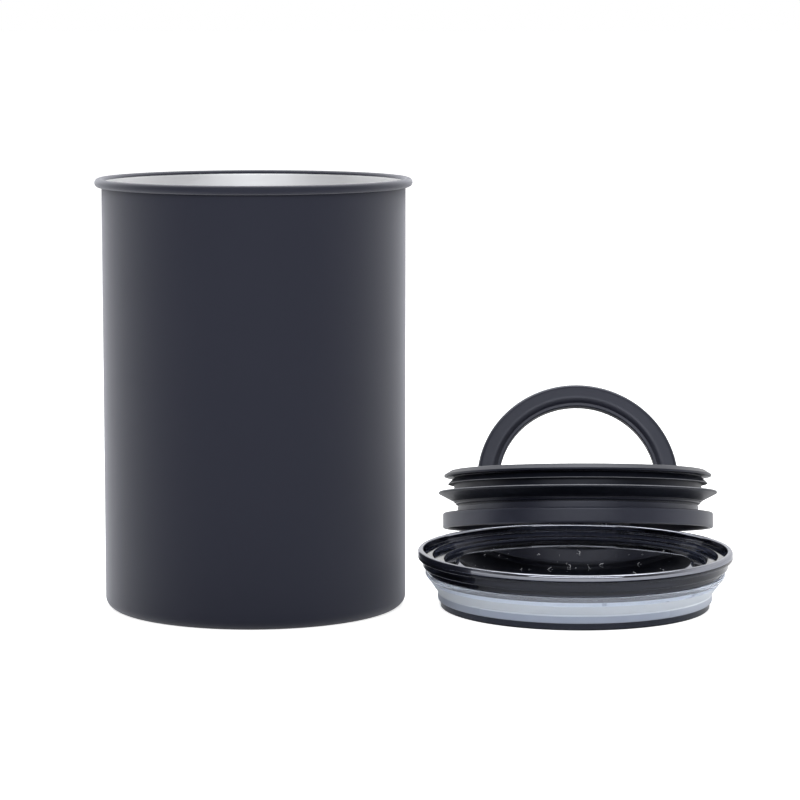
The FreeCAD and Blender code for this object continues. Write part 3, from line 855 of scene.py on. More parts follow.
class LintTree(PieceTree):
    """Scatters specks and short bent fibres over a mesh."""

    name = "scattered_lint"
    inputs = {
        "Specks": "Float", "Fibres": "Float", "Speck Radius": "Float", "Fibre Length": "Float",
        "Seed": "Int", "Finish": "Material",
    }
    speck_shape: Triple = (1.0, 0.7, 0.35)
    least_speck = 0.35
    least_fibre = 0.4
    fibre_share = 0.36
    fibre_bend = 1.9
    fibre_steps = 9
    fibre_sides = 5
    most_spin: Triple = (0.9, 0.9, TURN)

    def _scatter(self, density: str, shape: Socket, smallest: float) -> Socket:
        """Scatter one shape with random turns and sizes.

        Args:
            density: The input that holds the count per square metre.
            shape: The geometry to scatter.
            smallest: Least scale of a copy.

        Returns:
            The scattered instances.
        """
        graph, given = self.graph, self.given
        seed = {"Seed": given["Seed"]}
        spread = graph.add("GeometryNodeDistributePointsOnFaces", {
            "Mesh": given["Geometry"], "Density": given[density], **seed,
        }, distribute_method="RANDOM")
        spin = graph.add(
            "FunctionNodeRandomValue", {MOST_VECTOR: self.most_spin, **seed}, data_type="FLOAT_VECTOR")
        size = graph.add("FunctionNodeRandomValue", {LEAST_NUMBER: smallest, **seed}, data_type="FLOAT")
        return self.placed(
            spread.outputs["Points"], shape, spin.outputs[RANDOM_VECTOR], size.outputs[RANDOM_NUMBER])

    def layout(self) -> Socket:
        """Scatter flat specks and arcs of fine fibre.

        Returns:
            The socket that carries the painted mesh.
        """
        graph, given = self.graph, self.given
        speck = graph.add("GeometryNodeMeshIcoSphere", {"Subdivisions": 1, "Radius": given["Speck Radius"]})
        flat = {"Geometry": speck.outputs["Mesh"], "Scale": self.speck_shape}
        arc = graph.add("GeometryNodeCurveArc", {
            "Resolution": self.fibre_steps, "Radius": given["Fibre Length"], "Sweep Angle": self.fibre_bend,
        }, mode="RADIUS")
        thin = graph.math("MULTIPLY", given["Speck Radius"], self.fibre_share)
        fibre = self.swept(arc.outputs["Curve"], self.circle(self.fibre_sides, thin))
        both = graph.add("GeometryNodeJoinGeometry")
        for density, shape, smallest in (
            ("Specks", graph.add("GeometryNodeTransform", flat).outputs["Geometry"], self.least_speck),
            ("Fibres", fibre, self.least_fibre),
        ):
            graph.fill(both, {"Geometry": self._scatter(density, shape, smallest)})
        return self.painted(both.outputs["Geometry"])


def poured(build: bmesh.types.BMesh, name: str) -> Mesh:
    """Turn a mesh under construction into a plain one.

    Args:
        build: The mesh under construction. It is used up.
        name: The new mesh's name.

    Returns:
        The plain mesh.
    """
    mesh = bpy.data.meshes.new(name)
    build.to_mesh(mesh)
    build.free()
    return mesh


def joined(meshes: Sequence[Mesh], place: Matrix) -> Mesh:
    """Join meshes into one clean mesh, set in place.

    Args:
        meshes: The meshes. They are used up.
        place: Where the result goes, in metres.

    Returns:
        One mesh with merged seams, outward faces, smooth shading and sharp corners.
    """
    build = bmesh.new()
    materials: list[Material] = []
    for mesh in meshes:
        known = len(build.faces)
        build.from_mesh(mesh)
        build.faces.ensure_lookup_table()
        for face in build.faces[known:]:
            material = mesh.materials[face.material_index]
            if material not in materials:
                materials.append(material)
            face.material_index = materials.index(material)
        bpy.data.meshes.remove(mesh)
    bmesh.ops.remove_doubles(build, verts=build.verts, dist=MERGE_REACH)
    bmesh.ops.dissolve_degenerate(build, edges=build.edges, dist=SLIVER_REACH)
    bmesh.ops.recalc_face_normals(build, faces=build.faces)
    result = poured(build, "joined")
    for material in materials:
        result.materials.append(material)
    result.transform(place)
    result.shade_smooth()
    result.set_sharp_from_angle(angle=SMOOTH_LIMIT)
    return result


def extruded(outline: Sequence[Span], start: float, end: float, edge: float, finish: Material) -> Mesh:
    """Push a (y, z) outline along X and ease its edges.

    Args:
        outline: Corners in millimetres, in order.
        start: First x in millimetres.
        end: Last x in millimetres.
        edge: Width of the eased edges in millimetres.
        finish: The material.

    Returns:
        A closed mesh in metres.
    """
    build = bmesh.new()
    ring = [build.verts.new((start * MM, y * MM, z * MM)) for y, z in outline]
    face = build.faces.new(ring)
    pushed = bmesh.ops.extrude_face_region(build, geom=[face])
    moved = [item for item in pushed["geom"] if isinstance(item, bmesh.types.BMVert)]
    bmesh.ops.translate(build, verts=moved, vec=((end - start) * MM, 0.0, 0.0))
    bmesh.ops.recalc_face_normals(build, faces=build.faces)
    hard = [item for item in build.edges if item.calc_face_angle(0.0) > SMOOTH_LIMIT]
    bmesh.ops.bevel(build, geom=hard, offset=edge * MM, segments=BEVEL_STEPS, profile=0.5, affect="EDGES")
    mesh = poured(build, "extruded")
    mesh.materials.append(finish)
    return mesh


@dataclass
class Workshop:
    """The node trees and finishes that every sub-assembly shares.

    Attributes:
        finishes: The materials.
        nodes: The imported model's own objects by name.
        turning, arch, around, coil, lint: The node trees.
    """

    finishes: FinishShelf
    nodes: Mapping[str, bpy.types.Object]
    turning: TurningTree = field(default_factory=TurningTree)
    arch: ArchTree = field(default_factory=ArchTree)
    around: AroundTree = field(default_factory=AroundTree)
    coil: CoilTree = field(default_factory=CoilTree)
    lint: LintTree = field(default_factory=LintTree)

    def turned(self, section: Section, finish: Material, second: Material | None = None,
               segments: int = 160) -> Mesh:
        """Turn a section about Z.

        Args:
            section: The half section.
            finish: The main material.
            second: The material of the section's second zone.
            segments: Divisions of the full turn.

        Returns:
            The turned mesh in metres.
        """
        points = section.points()
        guide = max(point.r for point in points)
        return self.turning.grow(section_mesh(points, section.closed, guide), {
            "Segments": segments, "Guide Radius": guide * MM,
            "Main Finish": finish, "Second Finish": second or finish,
        })

    def arched(self, section: Section, guide: float, start: float, finish: Material, steps: int = 96) -> Mesh:
        """Sweep a closed section over a half circle that stands in the XZ plane.

        Args:
            section: The section, with r from the circle's centre and z as its depth.
            guide: The circle's radius in millimetres.
            start: Angle left free at each end, in degrees.
            finish: The material.
            steps: Points along the arc.

        Returns:
            The arched mesh in metres.
        """
        free = math.radians(start)
        mesh = self.arch.grow(section_mesh(section.points(), True, guide), {
            "Steps": steps, "Guide Radius": guide * MM, "Start": free, "Sweep": TURN / 2.0 - 2.0 * free,
            "Finish": finish,
        })
        mesh.transform(Matrix.Rotation(TURN / 4.0, 4, "X"))
        return mesh

    def repeated(self, mesh: Mesh, count: int, finish: Material) -> Mesh:
        """Set equal copies of a mesh about Z."""
        return self.around.grow(mesh, {"Count": count, "Finish": finish})


@dataclass
class SubAssembly(ABC):
    """One group of pieces that moves as a body. Its sizes are in millimetres, named for what they measure.

    Attributes:
        shop: Shared trees and finishes.
    """

    shop: Workshop
    body = BodyName.CANISTER

    @abstractmethod
    def build(self) -> None:
        """Make the pieces."""

    def dress(self) -> None:
        """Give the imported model's own pieces their finishes."""

    def piece(self, name: str, meshes: Sequence[Mesh], place: Matrix, slot: SlotName, *nodes: str) -> None:
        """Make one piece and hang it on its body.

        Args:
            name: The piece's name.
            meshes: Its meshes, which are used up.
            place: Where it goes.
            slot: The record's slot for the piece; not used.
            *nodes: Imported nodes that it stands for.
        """
        mesh = joined(meshes, place)
        mesh.name = name
        made = stood(name, mesh)
        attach(made, self.body.value)
        if nodes:
            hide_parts(*nodes)
        LOG.info("%s: %d faces on %s", name, len(mesh.polygons), self.body.value)

    def paint(self, finish: Material, *nodes: str) -> None:
        """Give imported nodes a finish.

        Args:
            finish: The material.
            *nodes: Names of the nodes.
        """
        for name in nodes:
            for slot in self.shop.nodes[name].material_slots:
                slot.material = finish
            LOG.info("%s: packed shape kept", name)


@dataclass
class Canister(SubAssembly):
    """Drawn steel can, coated outside and bare inside.

    Attributes:
        curl: Radius of the rolled rim, at the middle of the sheet.
        curl_wrap: How far the rim is rolled, in degrees.
        bare_from: Share of the roll at which the coat ends.
    """

    radius: float = 60.3
    height: float = 171.4
    wall: float = 0.7
    heel: float = 4.5
    foot_ring: float = 4.0
    foot_recess: float = 1.6
    foot_step: float = 1.8
    foot_round: float = 0.9
    curl: float = 1.4
    curl_wrap: float = 285.0
    curl_steps: int = 28
    bare_from: float = 0.04
    arc_steps: int = 10
    segments: int = 224

    def _roll(self, radius: float, shares: Sequence[float]) -> list[Spot]:
        """Return points on the rolled rim.

        Args:
            radius: Distance from the roll's centre.
            shares: Places along the roll, from 0 at the wall to 1 at its end.

        Returns:
            The points in order.
        """
        middle = self.radius - self.wall / 2.0 + self.curl
        height = self.height - self.curl - self.wall / 2.0
        spots = []
        for share in shares:
            angle = TURN / 2.0 - math.radians(self.curl_wrap * share)
            inside = share <= self.bare_from and radius > self.curl
            zone = Zone.SECOND if inside else Zone.MAIN
            across, up = radius * math.cos(angle), radius * math.sin(angle)
            spots.append(Spot(middle + across, height + up, 0.0, zone))
        return spots

    def section(self) -> Section:
        """Draw the can from its underside over the rim to the inside.

        Returns:
            The half section.
        """
        ring_in = self.radius - self.heel - self.foot_ring
        panel = ring_in - self.foot_step
        bore = self.radius - self.wall
        shares = [i / self.curl_steps for i in range(self.curl_steps + 1)]
        bare = Zone.SECOND
        outside = [
            Spot(0.0, self.foot_recess),
            Spot(panel, self.foot_recess, self.foot_round),
            Spot(ring_in, 0.0, self.foot_round),
            Spot(self.radius, 0.0, self.heel),
        ]
        inside = [
            Spot(bore, self.wall, self.heel - self.wall, bare),
            Spot(ring_in, self.wall, self.foot_round, bare),
            Spot(panel, self.foot_recess + self.wall, self.foot_round, bare),
            Spot(0.0, self.foot_recess + self.wall, 0.0, bare),
        ]
        under = self._roll(self.curl - self.wall / 2.0, shares)
        over = self._roll(self.curl + self.wall / 2.0, shares[::-1])
        return Section(tuple(outside + under + over + inside), arc_steps=self.arc_steps)

    def build(self) -> None:
        """Turn the can."""
        finishes = self.shop.finishes
        mesh = self.shop.turned(self.section(), finishes.coat, finishes.spun_steel, self.segments)
        self.piece("can", [mesh], Matrix.Identity(4), SlotName.COAT, "canister_shell")


@dataclass
class OuterLid(SubAssembly):
    """See-through press-on lid with its silicone ring, lying flat.

    Attributes:
        centre: Where it lies.
        bore: Inside of the can that the plug goes into.
        seat: Height of the shoulder that rests on the can's rim.
        rim_line: Depth of the fine groove round the rim.
        floor_depth: Depth of the dish that sets the underside's height.
        lip_thin_from: Share of the lip's way from root to tip at which it turns thin.
        specks: Specks of lint per square metre.
        fibres: Fibres per square metre.
    """

    centre: Span = (128.3, -4.7)
    radius: float = 63.1
    bore: float = 59.6
    wall: float = 2.0
    height: float = 23.0
    seat: float = 16.2
    rim_side: float = 3.6
    rim_width: float = 2.5
    rim_inner_round: float = 0.7
    rim_outer_round: float = 1.7
    rim_line: float = 0.3
    rim_line_depth: float = 2.1
    rim_line_round: float = 0.1
    step_inset: float = 1.8
    ledge_depth: float = 2.4
    dish_depth: float = 6.0
    floor_depth: float = 7.4
    disc_radius: float = 46.4
    disc_rise: float = 1.1
    disc_drop: float = 0.8
    disc_bevel: float = 1.4
    disc_edge: float = 0.12
    plug_gap: float = 0.5
    skirt: float = 54.0
    bead: float = 2.8
    groove: float = 5.9
    groove_depth: float = 0.9
    edge: float = 0.5
    fit: float = 0.05
    lip_bite: float = 0.5
    lip_proud: float = 1.0
    lip_root: float = 3.35
    lip_root_thick: float = 2.2
    lip_rise: float = 6.85
    lip_thin_from: float = 0.55
    lip_tip: float = 1.3
    specks: float = 7000.0
    fibres: float = 3600.0
    speck: float = 0.22
    fibre: float = 1.5
    lint_margin: float = 3.0
    lint_sides: int = 48
    lint_seed: int = 11
    segments: int = 200
    body = BodyName.OUTER_LID

    def disc_height(self) -> float:
        """Return the height of the dish's raised disc."""
        return self.height - self.dish_depth + self.disc_rise

    def shell_section(self) -> Section:
        """Draw the lid from the middle of its dish to the middle underneath.

        Returns:
            The half section.
        """
        floor = self.height - self.dish_depth
        disc = self.disc_height()
        ledge = self.height - self.ledge_depth
        middle = (ledge + floor) / 2.0
        under = self.height - self.floor_depth - self.wall
        below = under - self.disc_drop
        plug = self.bore - self.plug_gap
        bevel = self.disc_radius + self.disc_bevel
        dish = plug - self.wall
        step_in = (dish + bevel) / 2.0
        rim_in = self.radius - self.rim_width
        rim_low = self.height - self.rim_side
        step = self.radius - self.step_inset
        groove = self.skirt - self.groove_depth
        groove_top = self.bead + self.groove
        inside = self.skirt - self.wall
        edge = self.edge
        crisp = self.disc_edge
        line = self.rim_line
        line_top = self.height - self.rim_line_depth
        # The shiny zone takes the strongly reflecting smoke plastic: a painted highlight on the rim and the
        # disc's edge.
        shiny = Zone.SECOND
        return Section((
            Spot(0.0, disc), Spot(self.disc_radius, disc, crisp, shiny), Spot(bevel, floor, crisp),
            Spot(step_in, floor, crisp), Spot(step_in, middle, crisp), Spot(dish, middle, crisp),
            Spot(dish, ledge, crisp), Spot(rim_in, ledge, crisp),
            Spot(rim_in, self.height, self.rim_inner_round, shiny),
            Spot(self.radius, self.height, self.rim_outer_round, shiny),
            Spot(self.radius, line_top, self.rim_line_round, shiny),
            Spot(self.radius - line, line_top - line, 0.0, shiny),
            Spot(self.radius, line_top - 2.0 * line, self.rim_line_round),
            Spot(self.radius, rim_low, edge), Spot(step, rim_low), Spot(step, self.seat, edge),
            Spot(plug, self.seat), Spot(plug, under, edge), Spot(self.skirt, under),
            Spot(self.skirt, groove_top), Spot(groove, groove_top), Spot(groove, self.bead),
            Spot(self.skirt, self.bead), Spot(self.skirt, 0.0, edge), Spot(inside, 0.0, edge),
            Spot(inside, under, edge), Spot(bevel, under), Spot(self.disc_radius, below), Spot(0.0, below),
        ))

    def lip_points(self, share: float) -> tuple[Span, Span]:
        """Return the lip's outside and inside points at a share of its way from root to tip.

        Args:
            share: 0 at the root, 1 at the tip.

        Returns:
            The lower and the upper point.
        """
        root = self.bead + self.fit + self.lip_root
        outer = self.skirt + self.lip_proud
        r = outer + (self.bore + self.lip_bite - outer) * share
        z = root + self.lip_rise * share
        thick = self.lip_root_thick + (self.lip_tip - self.lip_root_thick) * share
        return (r, z), (r, z + thick)

    def ring_section(self) -> Section:
        """Draw the silicone ring with the thick part of its flared lip.

        Returns:
            The half section.
        """
        inner = self.skirt - self.groove_depth + self.fit
        outer = self.skirt + self.lip_proud
        low = self.bead + self.fit
        top = self.bead + self.groove - self.fit
        edge = self.edge
        # The band below the lip takes the darker silicone: painted shade.
        band = Zone.SECOND
        root_below, root_above = self.lip_points(0.0)
        below, above = self.lip_points(self.lip_thin_from)
        return Section((
            Spot(inner, low, 0.0, band), Spot(outer, low, edge, band), Spot(*root_below, edge),
            Spot(*below), Spot(*above), Spot(*root_above, edge),
            Spot(outer, top, edge), Spot(inner, top, 0.0, band),
        ), closed=True)

    def lip_edge_section(self) -> Section:
        """Draw the thin upper edge of the ring's lip.

        Returns:
            The half section.
        """
        below, above = self.lip_points(self.lip_thin_from)
        tip_below, tip_above = self.lip_points(1.0)
        return Section((
            Spot(*below), Spot(*tip_below, self.edge), Spot(*tip_above, self.edge), Spot(*above),
        ), closed=True)

    def lint_mesh(self) -> Mesh:
        """Scatter lint over the middle of the dish.

        Returns:
            The lint, on the level of the origin.
        """
        build = bmesh.new()
        reach = (self.disc_radius - self.lint_margin) * MM
        bmesh.ops.create_circle(build, cap_ends=True, segments=self.lint_sides, radius=reach)
        return self.shop.lint.grow(poured(build, "dish_floor"), {
            "Specks": self.specks, "Fibres": self.fibres, "Speck Radius": self.speck * MM,
            "Fibre Length": self.fibre * MM, "Seed": self.lint_seed, "Finish": self.shop.finishes.dust,
        })

    def build(self) -> None:
        """Turn the lid and its ring, and scatter the lint."""
        finishes = self.shop.finishes
        turned = self.shop.turned
        place = Matrix.Translation((self.centre[0] * MM, self.centre[1] * MM, 0.0))
        shell = turned(self.shell_section(), finishes.smoke, finishes.smoke_rim, self.segments)
        self.piece("outer_lid_cap", [shell], place, SlotName.SMOKE, "outer_lid_shell")
        ring = [
            turned(self.ring_section(), finishes.frosted, finishes.frosted_painted_shade, self.segments),
            turned(self.lip_edge_section(), finishes.thin_frosted, segments=self.segments),
        ]
        self.piece("outer_lid_ring", ring, place, SlotName.CLEAR_SILICONE, "outer_lid_gasket")
        lint_place = place @ Matrix.Translation((0.0, 0.0, self.disc_height() * MM))
        self.piece("outer_lid_lint", [self.lint_mesh()], lint_place, SlotName.CLEAR_SILICONE)


@dataclass(frozen=True)
class PlungerPlace:
    """Where the plunger lid leans.

    Attributes:
        x: Middle of its foot, across.
        y: Middle of its foot, front to back.
        z: Height of that middle.
        tilt_sine: Sine of its lean.
        axle: Height of the handle's axle in the lid's own frame.
        lean: How far the handle leans back, in degrees.
    """

    x: float = 136.1
    y: float = 114.0761
    z: float = 11.6962
    tilt_sine: float = 0.2
    axle: float = 20.5
    lean: float = 13.7

    def lid(self) -> Matrix:
        """Return the lid's own frame."""
        foot = Matrix.Translation((self.x * MM, self.y * MM, self.z * MM))
        return foot @ Matrix.Rotation(-math.asin(self.tilt_sine), 4, "X")

    def handle(self) -> Matrix:
        """Return the handle's frame, with its origin on the axle."""
        up = Matrix.Translation((0.0, 0.0, self.axle * MM))
        return self.lid() @ up @ Matrix.Rotation(-math.radians(self.lean), 4, "X")


@dataclass
class PlungerLid(SubAssembly):
    """Black lid that slides in the can: two mouldings, a flat seal, a wiper and the valve's seat.

    Attributes:
        place: Where it leans.
        bore: Inside of the can.
        sink: How far the ribs and lugs reach into what carries them.
        wiper_highlight_width: Width of the wiper's tips that take the lighter silicone as a painted
            highlight.
        spring_high: Top of the coil, clear of the follower at its lowest.
    """

    place: PlungerPlace = PlungerPlace()
    bore: float = 59.6
    fit: float = 0.05
    wall: float = 2.2
    height: float = 25.4
    band_gap: float = 0.4
    band: float = 6.9
    band_round: float = 0.8
    neck: float = 52.8
    neck_edge: float = 0.2
    ledge: float = 2.6
    recess: float = 5.8
    spigot: float = 2.6
    spigot_wall: float = 2.0
    seat: float = 6.0
    seat_lip: float = 1.0
    seat_lip_height: float = 0.4
    guard: float = 12.6
    guard_wall: float = 1.6
    guard_setback: float = 1.0
    guard_slot: float = 5.0
    guard_count: int = 6
    guard_steps: int = 10
    rib_thick: float = 1.6
    rib_depth: float = 2.4
    rib_count: int = 6
    rib_edge: float = 0.25
    sink: float = 0.2
    seal: float = 0.6
    seal_setback: float = 0.3
    flange: float = 58.6
    flange_thick: float = 2.8
    flange_edge_thick: float = 0.9
    flange_bevel: float = 3.0
    flange_round: float = 1.8
    flange_edge: float = 0.3
    dish_depth: float = 10.0
    dish_round: float = 1.2
    chimney: float = 7.6
    chimney_wall: float = 2.0
    chimney_lip: float = 1.0
    chimney_edge: float = 0.3
    bead_proud: float = 0.8
    bead_height: float = 1.0
    lug_from: float = 44.8
    lug_width: float = 9.0
    lug_length: float = 5.8
    lug_above: float = 2.6
    lug_throat: float = 3.6
    lug_hole: float = 2.06
    lug_edge: float = 0.2
    lug_count: int = 2
    lug_steps: int = 18
    wiper_height: float = 11.2
    wiper_wall: float = 1.4
    wiper_bite: float = 1.4
    wiper_rise: float = 3.5
    wiper_root: float = 2.2
    wiper_tip: float = 1.2
    wiper_above: float = 0.3
    wiper_round: float = 0.4
    wiper_highlight_width: float = 1.3
    fin: float = 57.2
    fin_drop: float = 2.8
    fin_root: float = 1.7
    fin_tip: float = 0.9
    fin_below: float = 0.4
    spring_radius: float = 3.3
    spring_wire: float = 0.35
    spring_turns: float = 2.75
    spring_low: float = 10.3
    spring_high: float = 13.465
    segments: int = 200
    body = BodyName.PLUNGER_LID

    def base_section(self) -> Section:
        """Draw the lower moulding: seat, floor, guide band, ledge and spigot.

        Returns:
            The half section.
        """
        band = self.bore - self.band_gap
        band_in = band - self.wall
        ledge_in = self.neck - self.wall
        ledge_top = self.band + self.ledge
        shoulder = self.band - self.wall
        spigot = ledge_in - self.fit
        floor = self.recess + self.wall
        seat_low = self.recess - self.seat_lip_height
        lip = self.seat + self.seat_lip
        soft = self.band_round
        return Section((
            Spot(self.seat, seat_low), Spot(lip, seat_low), Spot(lip, self.recess),
            Spot(ledge_in, self.recess), Spot(ledge_in, shoulder),
            Spot(band_in, shoulder, soft), Spot(band_in, 0.0, soft),
            Spot(band, 0.0, soft), Spot(band, self.band, soft), Spot(self.neck, self.band),
            Spot(self.neck, ledge_top, self.neck_edge), Spot(spigot, ledge_top),
            Spot(spigot, ledge_top + self.spigot), Spot(spigot - self.spigot_wall, ledge_top + self.spigot),
            Spot(spigot - self.spigot_wall, floor), Spot(self.seat, floor),
        ), closed=True)

    def guard_mesh(self) -> Mesh:
        """Make one length of the slotted ring that guards the valve, and repeat it.

        Returns:
            The whole ring.
        """
        inner = self.guard - self.guard_wall
        slot = math.asin(self.guard_slot / (inner + self.guard))
        half = TURN / self.guard_count / 2.0 - slot
        angles = [half * (2.0 * i / self.guard_steps - 1.0) for i in range(self.guard_steps + 1)]
        outline = [(self.guard * math.sin(a), self.guard * math.cos(a)) for a in angles]
        outline += [(inner * math.sin(a), inner * math.cos(a)) for a in reversed(angles)]
        finish = self.shop.finishes.plastic
        mesh = extruded(outline, self.guard_setback, self.recess, self.rib_edge, finish)
        mesh.transform(SWAP_X_AND_Z)
        return self.shop.repeated(mesh, self.guard_count, finish)

    def rib_mesh(self) -> Mesh:
        """Make one stiffening rib under the floor, and repeat it.

        Returns:
            All the ribs.
        """
        half = self.rib_thick / 2.0
        low = self.recess - self.rib_depth
        top = self.recess + self.sink
        outline = [(-half, low), (half, low), (half, top), (-half, top)]
        start = self.guard - self.guard_wall / 2.0
        end = self.neck - self.wall / 2.0
        finish = self.shop.finishes.plastic
        mesh = extruded(outline, start, end, self.rib_edge, finish)
        return self.shop.repeated(mesh, self.rib_count, finish)

    def seal_section(self) -> Section:
        """Draw the flat ring between the two mouldings.

        Returns:
            The half section.
        """
        inner = self.neck - self.wall + self.fit
        outer = self.neck - self.seal_setback
        low = self.band + self.ledge
        return Section((
            Spot(inner, low), Spot(outer, low), Spot(outer, low + self.seal), Spot(inner, low + self.seal),
        ), closed=True)

    def top_section(self) -> Section:
        """Draw the upper moulding: chimney, dish, flange and neck.

        Returns:
            The half section.
        """
        bore = self.neck - self.wall
        low = self.recess + self.wall + self.fit
        floor = self.height - self.dish_depth
        under = floor - self.wall
        neck_low = self.band + self.ledge + self.seal
        flange_low = self.height - self.flange_thick
        bead = self.neck + self.bead_proud
        bead_top = flange_low - self.wiper_height - self.fit
        bead_low = bead_top - self.bead_height
        chimney = self.chimney + self.chimney_wall
        chimney_top = floor + self.chimney_lip
        soft = self.dish_round
        return Section((
            Spot(self.chimney, low), Spot(chimney, low), Spot(chimney, under, soft), Spot(bore, under),
            Spot(bore, neck_low), Spot(self.neck, neck_low, self.neck_edge), Spot(self.neck, bead_low),
            Spot(bead, bead_low, self.bead_proud), Spot(bead, bead_top), Spot(self.neck, bead_top),
            Spot(self.neck, flange_low), Spot(self.flange, flange_low, self.flange_edge),
            Spot(self.flange, flange_low + self.flange_edge_thick, self.flange_edge),
            Spot(self.flange - self.flange_bevel, self.height, self.flange_round),
            Spot(bore, self.height, soft), Spot(bore, floor, soft), Spot(chimney, floor),
            Spot(chimney, chimney_top, self.chimney_edge), Spot(self.chimney, chimney_top, self.chimney_edge),
        ), closed=True)

    def lug_mesh(self) -> Mesh:
        """Make one snap-in bearing for the axle, and repeat it on the other side.

        Returns:
            Both bearings.
        """
        half = self.lug_width / 2.0
        throat = self.lug_throat / 2.0
        axle = self.place.axle
        floor = self.height - self.dish_depth - self.sink
        top = axle + self.lug_above
        open_half = math.asin(throat / self.lug_hole)
        hole = []
        for step in range(self.lug_steps + 1):
            angle = open_half + (TURN - 2.0 * open_half) * step / self.lug_steps
            hole.append((-self.lug_hole * math.sin(angle), axle + self.lug_hole * math.cos(angle)))
        outline = [
            (half, floor), (half, top), (throat, top), *reversed(hole),
            (-throat, top), (-half, top), (-half, floor),
        ]
        finish = self.shop.finishes.plastic
        mesh = extruded(outline, self.lug_from, self.lug_from + self.lug_length, self.lug_edge, finish)
        return self.shop.repeated(mesh, self.lug_count, finish)

    def wiper_section(self) -> Section:
        """Draw the wiper: sleeve, wide lower lip and drooping upper fin.

        Returns:
            The half section.
        """
        inner = self.neck + self.fit
        outer = inner + self.wiper_wall
        flange_low = self.height - self.flange_thick
        top = flange_low - self.fit
        low = flange_low - self.wiper_height
        lip = self.bore + self.wiper_bite
        lip_low = low + self.wiper_above
        tip_low = lip_low + self.wiper_rise
        fin_top = top - self.fin_below
        tip = fin_top - self.fin_drop
        soft = self.wiper_round
        # The lip's and the fin's tips take the lighter silicone: a painted highlight along their edges.
        lip_edge = Spot(lip, tip_low + self.wiper_tip, soft, Zone.SECOND)
        lip_foot = Spot(outer, lip_low + self.wiper_root, soft)
        fin_edge = Spot(self.fin, tip, soft, Zone.SECOND)
        fin_foot = Spot(outer, fin_top, soft)
        return Section((
            Spot(inner, low), Spot(outer, low), Spot(outer, lip_low, soft), Spot(lip, tip_low, soft),
            lip_edge, lip_edge.toward(lip_foot, self.wiper_highlight_width), lip_foot,
            Spot(outer, fin_top - self.fin_root, soft), Spot(self.fin - self.fin_tip, tip, soft),
            fin_edge, fin_edge.toward(fin_foot, self.wiper_highlight_width), fin_foot,
            Spot(outer, top), Spot(inner, top),
        ), closed=True)

    def coil_mesh(self) -> Mesh:
        """Wind the valve's spring, with its foot at the origin."""
        return self.shop.coil.grow(bpy.data.meshes.new("coil"), {
            "Turns": self.spring_turns, "Radius": self.spring_radius * MM,
            "Height": (self.spring_high - self.spring_low) * MM, "Wire Radius": self.spring_wire * MM,
            "Finish": self.shop.finishes.drawn_steel,
        })

    def build(self) -> None:
        """Make the two mouldings, the seal, the wiper and the spring."""
        finishes = self.shop.finishes
        place = self.place.lid()
        turned = self.shop.turned
        base = turned(self.base_section(), finishes.band_plastic, segments=self.segments)
        base_meshes = [base, self.guard_mesh(), self.rib_mesh()]
        self.piece("plunger_lower_moulding", base_meshes, place, SlotName.BLACK_PLASTIC, "plunger_base")
        seal = [turned(self.seal_section(), finishes.rubber)]
        self.piece("plunger_flat_seal", seal, place, SlotName.BLACK_SILICONE, "base_seal")
        top = [turned(self.top_section(), finishes.plastic, segments=self.segments), self.lug_mesh()]
        self.piece("plunger_upper_moulding", top, place, SlotName.BLACK_PLASTIC, "plunger_top")
        wiper = [turned(self.wiper_section(), finishes.rubber, finishes.rubber_painted_highlight, self.segments)]
        self.piece("plunger_wiper", wiper, place, SlotName.BLACK_SILICONE, "wiper_gasket")
        seated = place @ Matrix.Translation((0.0, 0.0, self.spring_low * MM))
        self.piece("valve_coil", [self.coil_mesh()], seated, SlotName.STEEL, "valve_spring")

    def dress(self) -> None:
        """Finish the valve's guide."""
        self.paint(self.shop.finishes.plastic, "valve_guide")


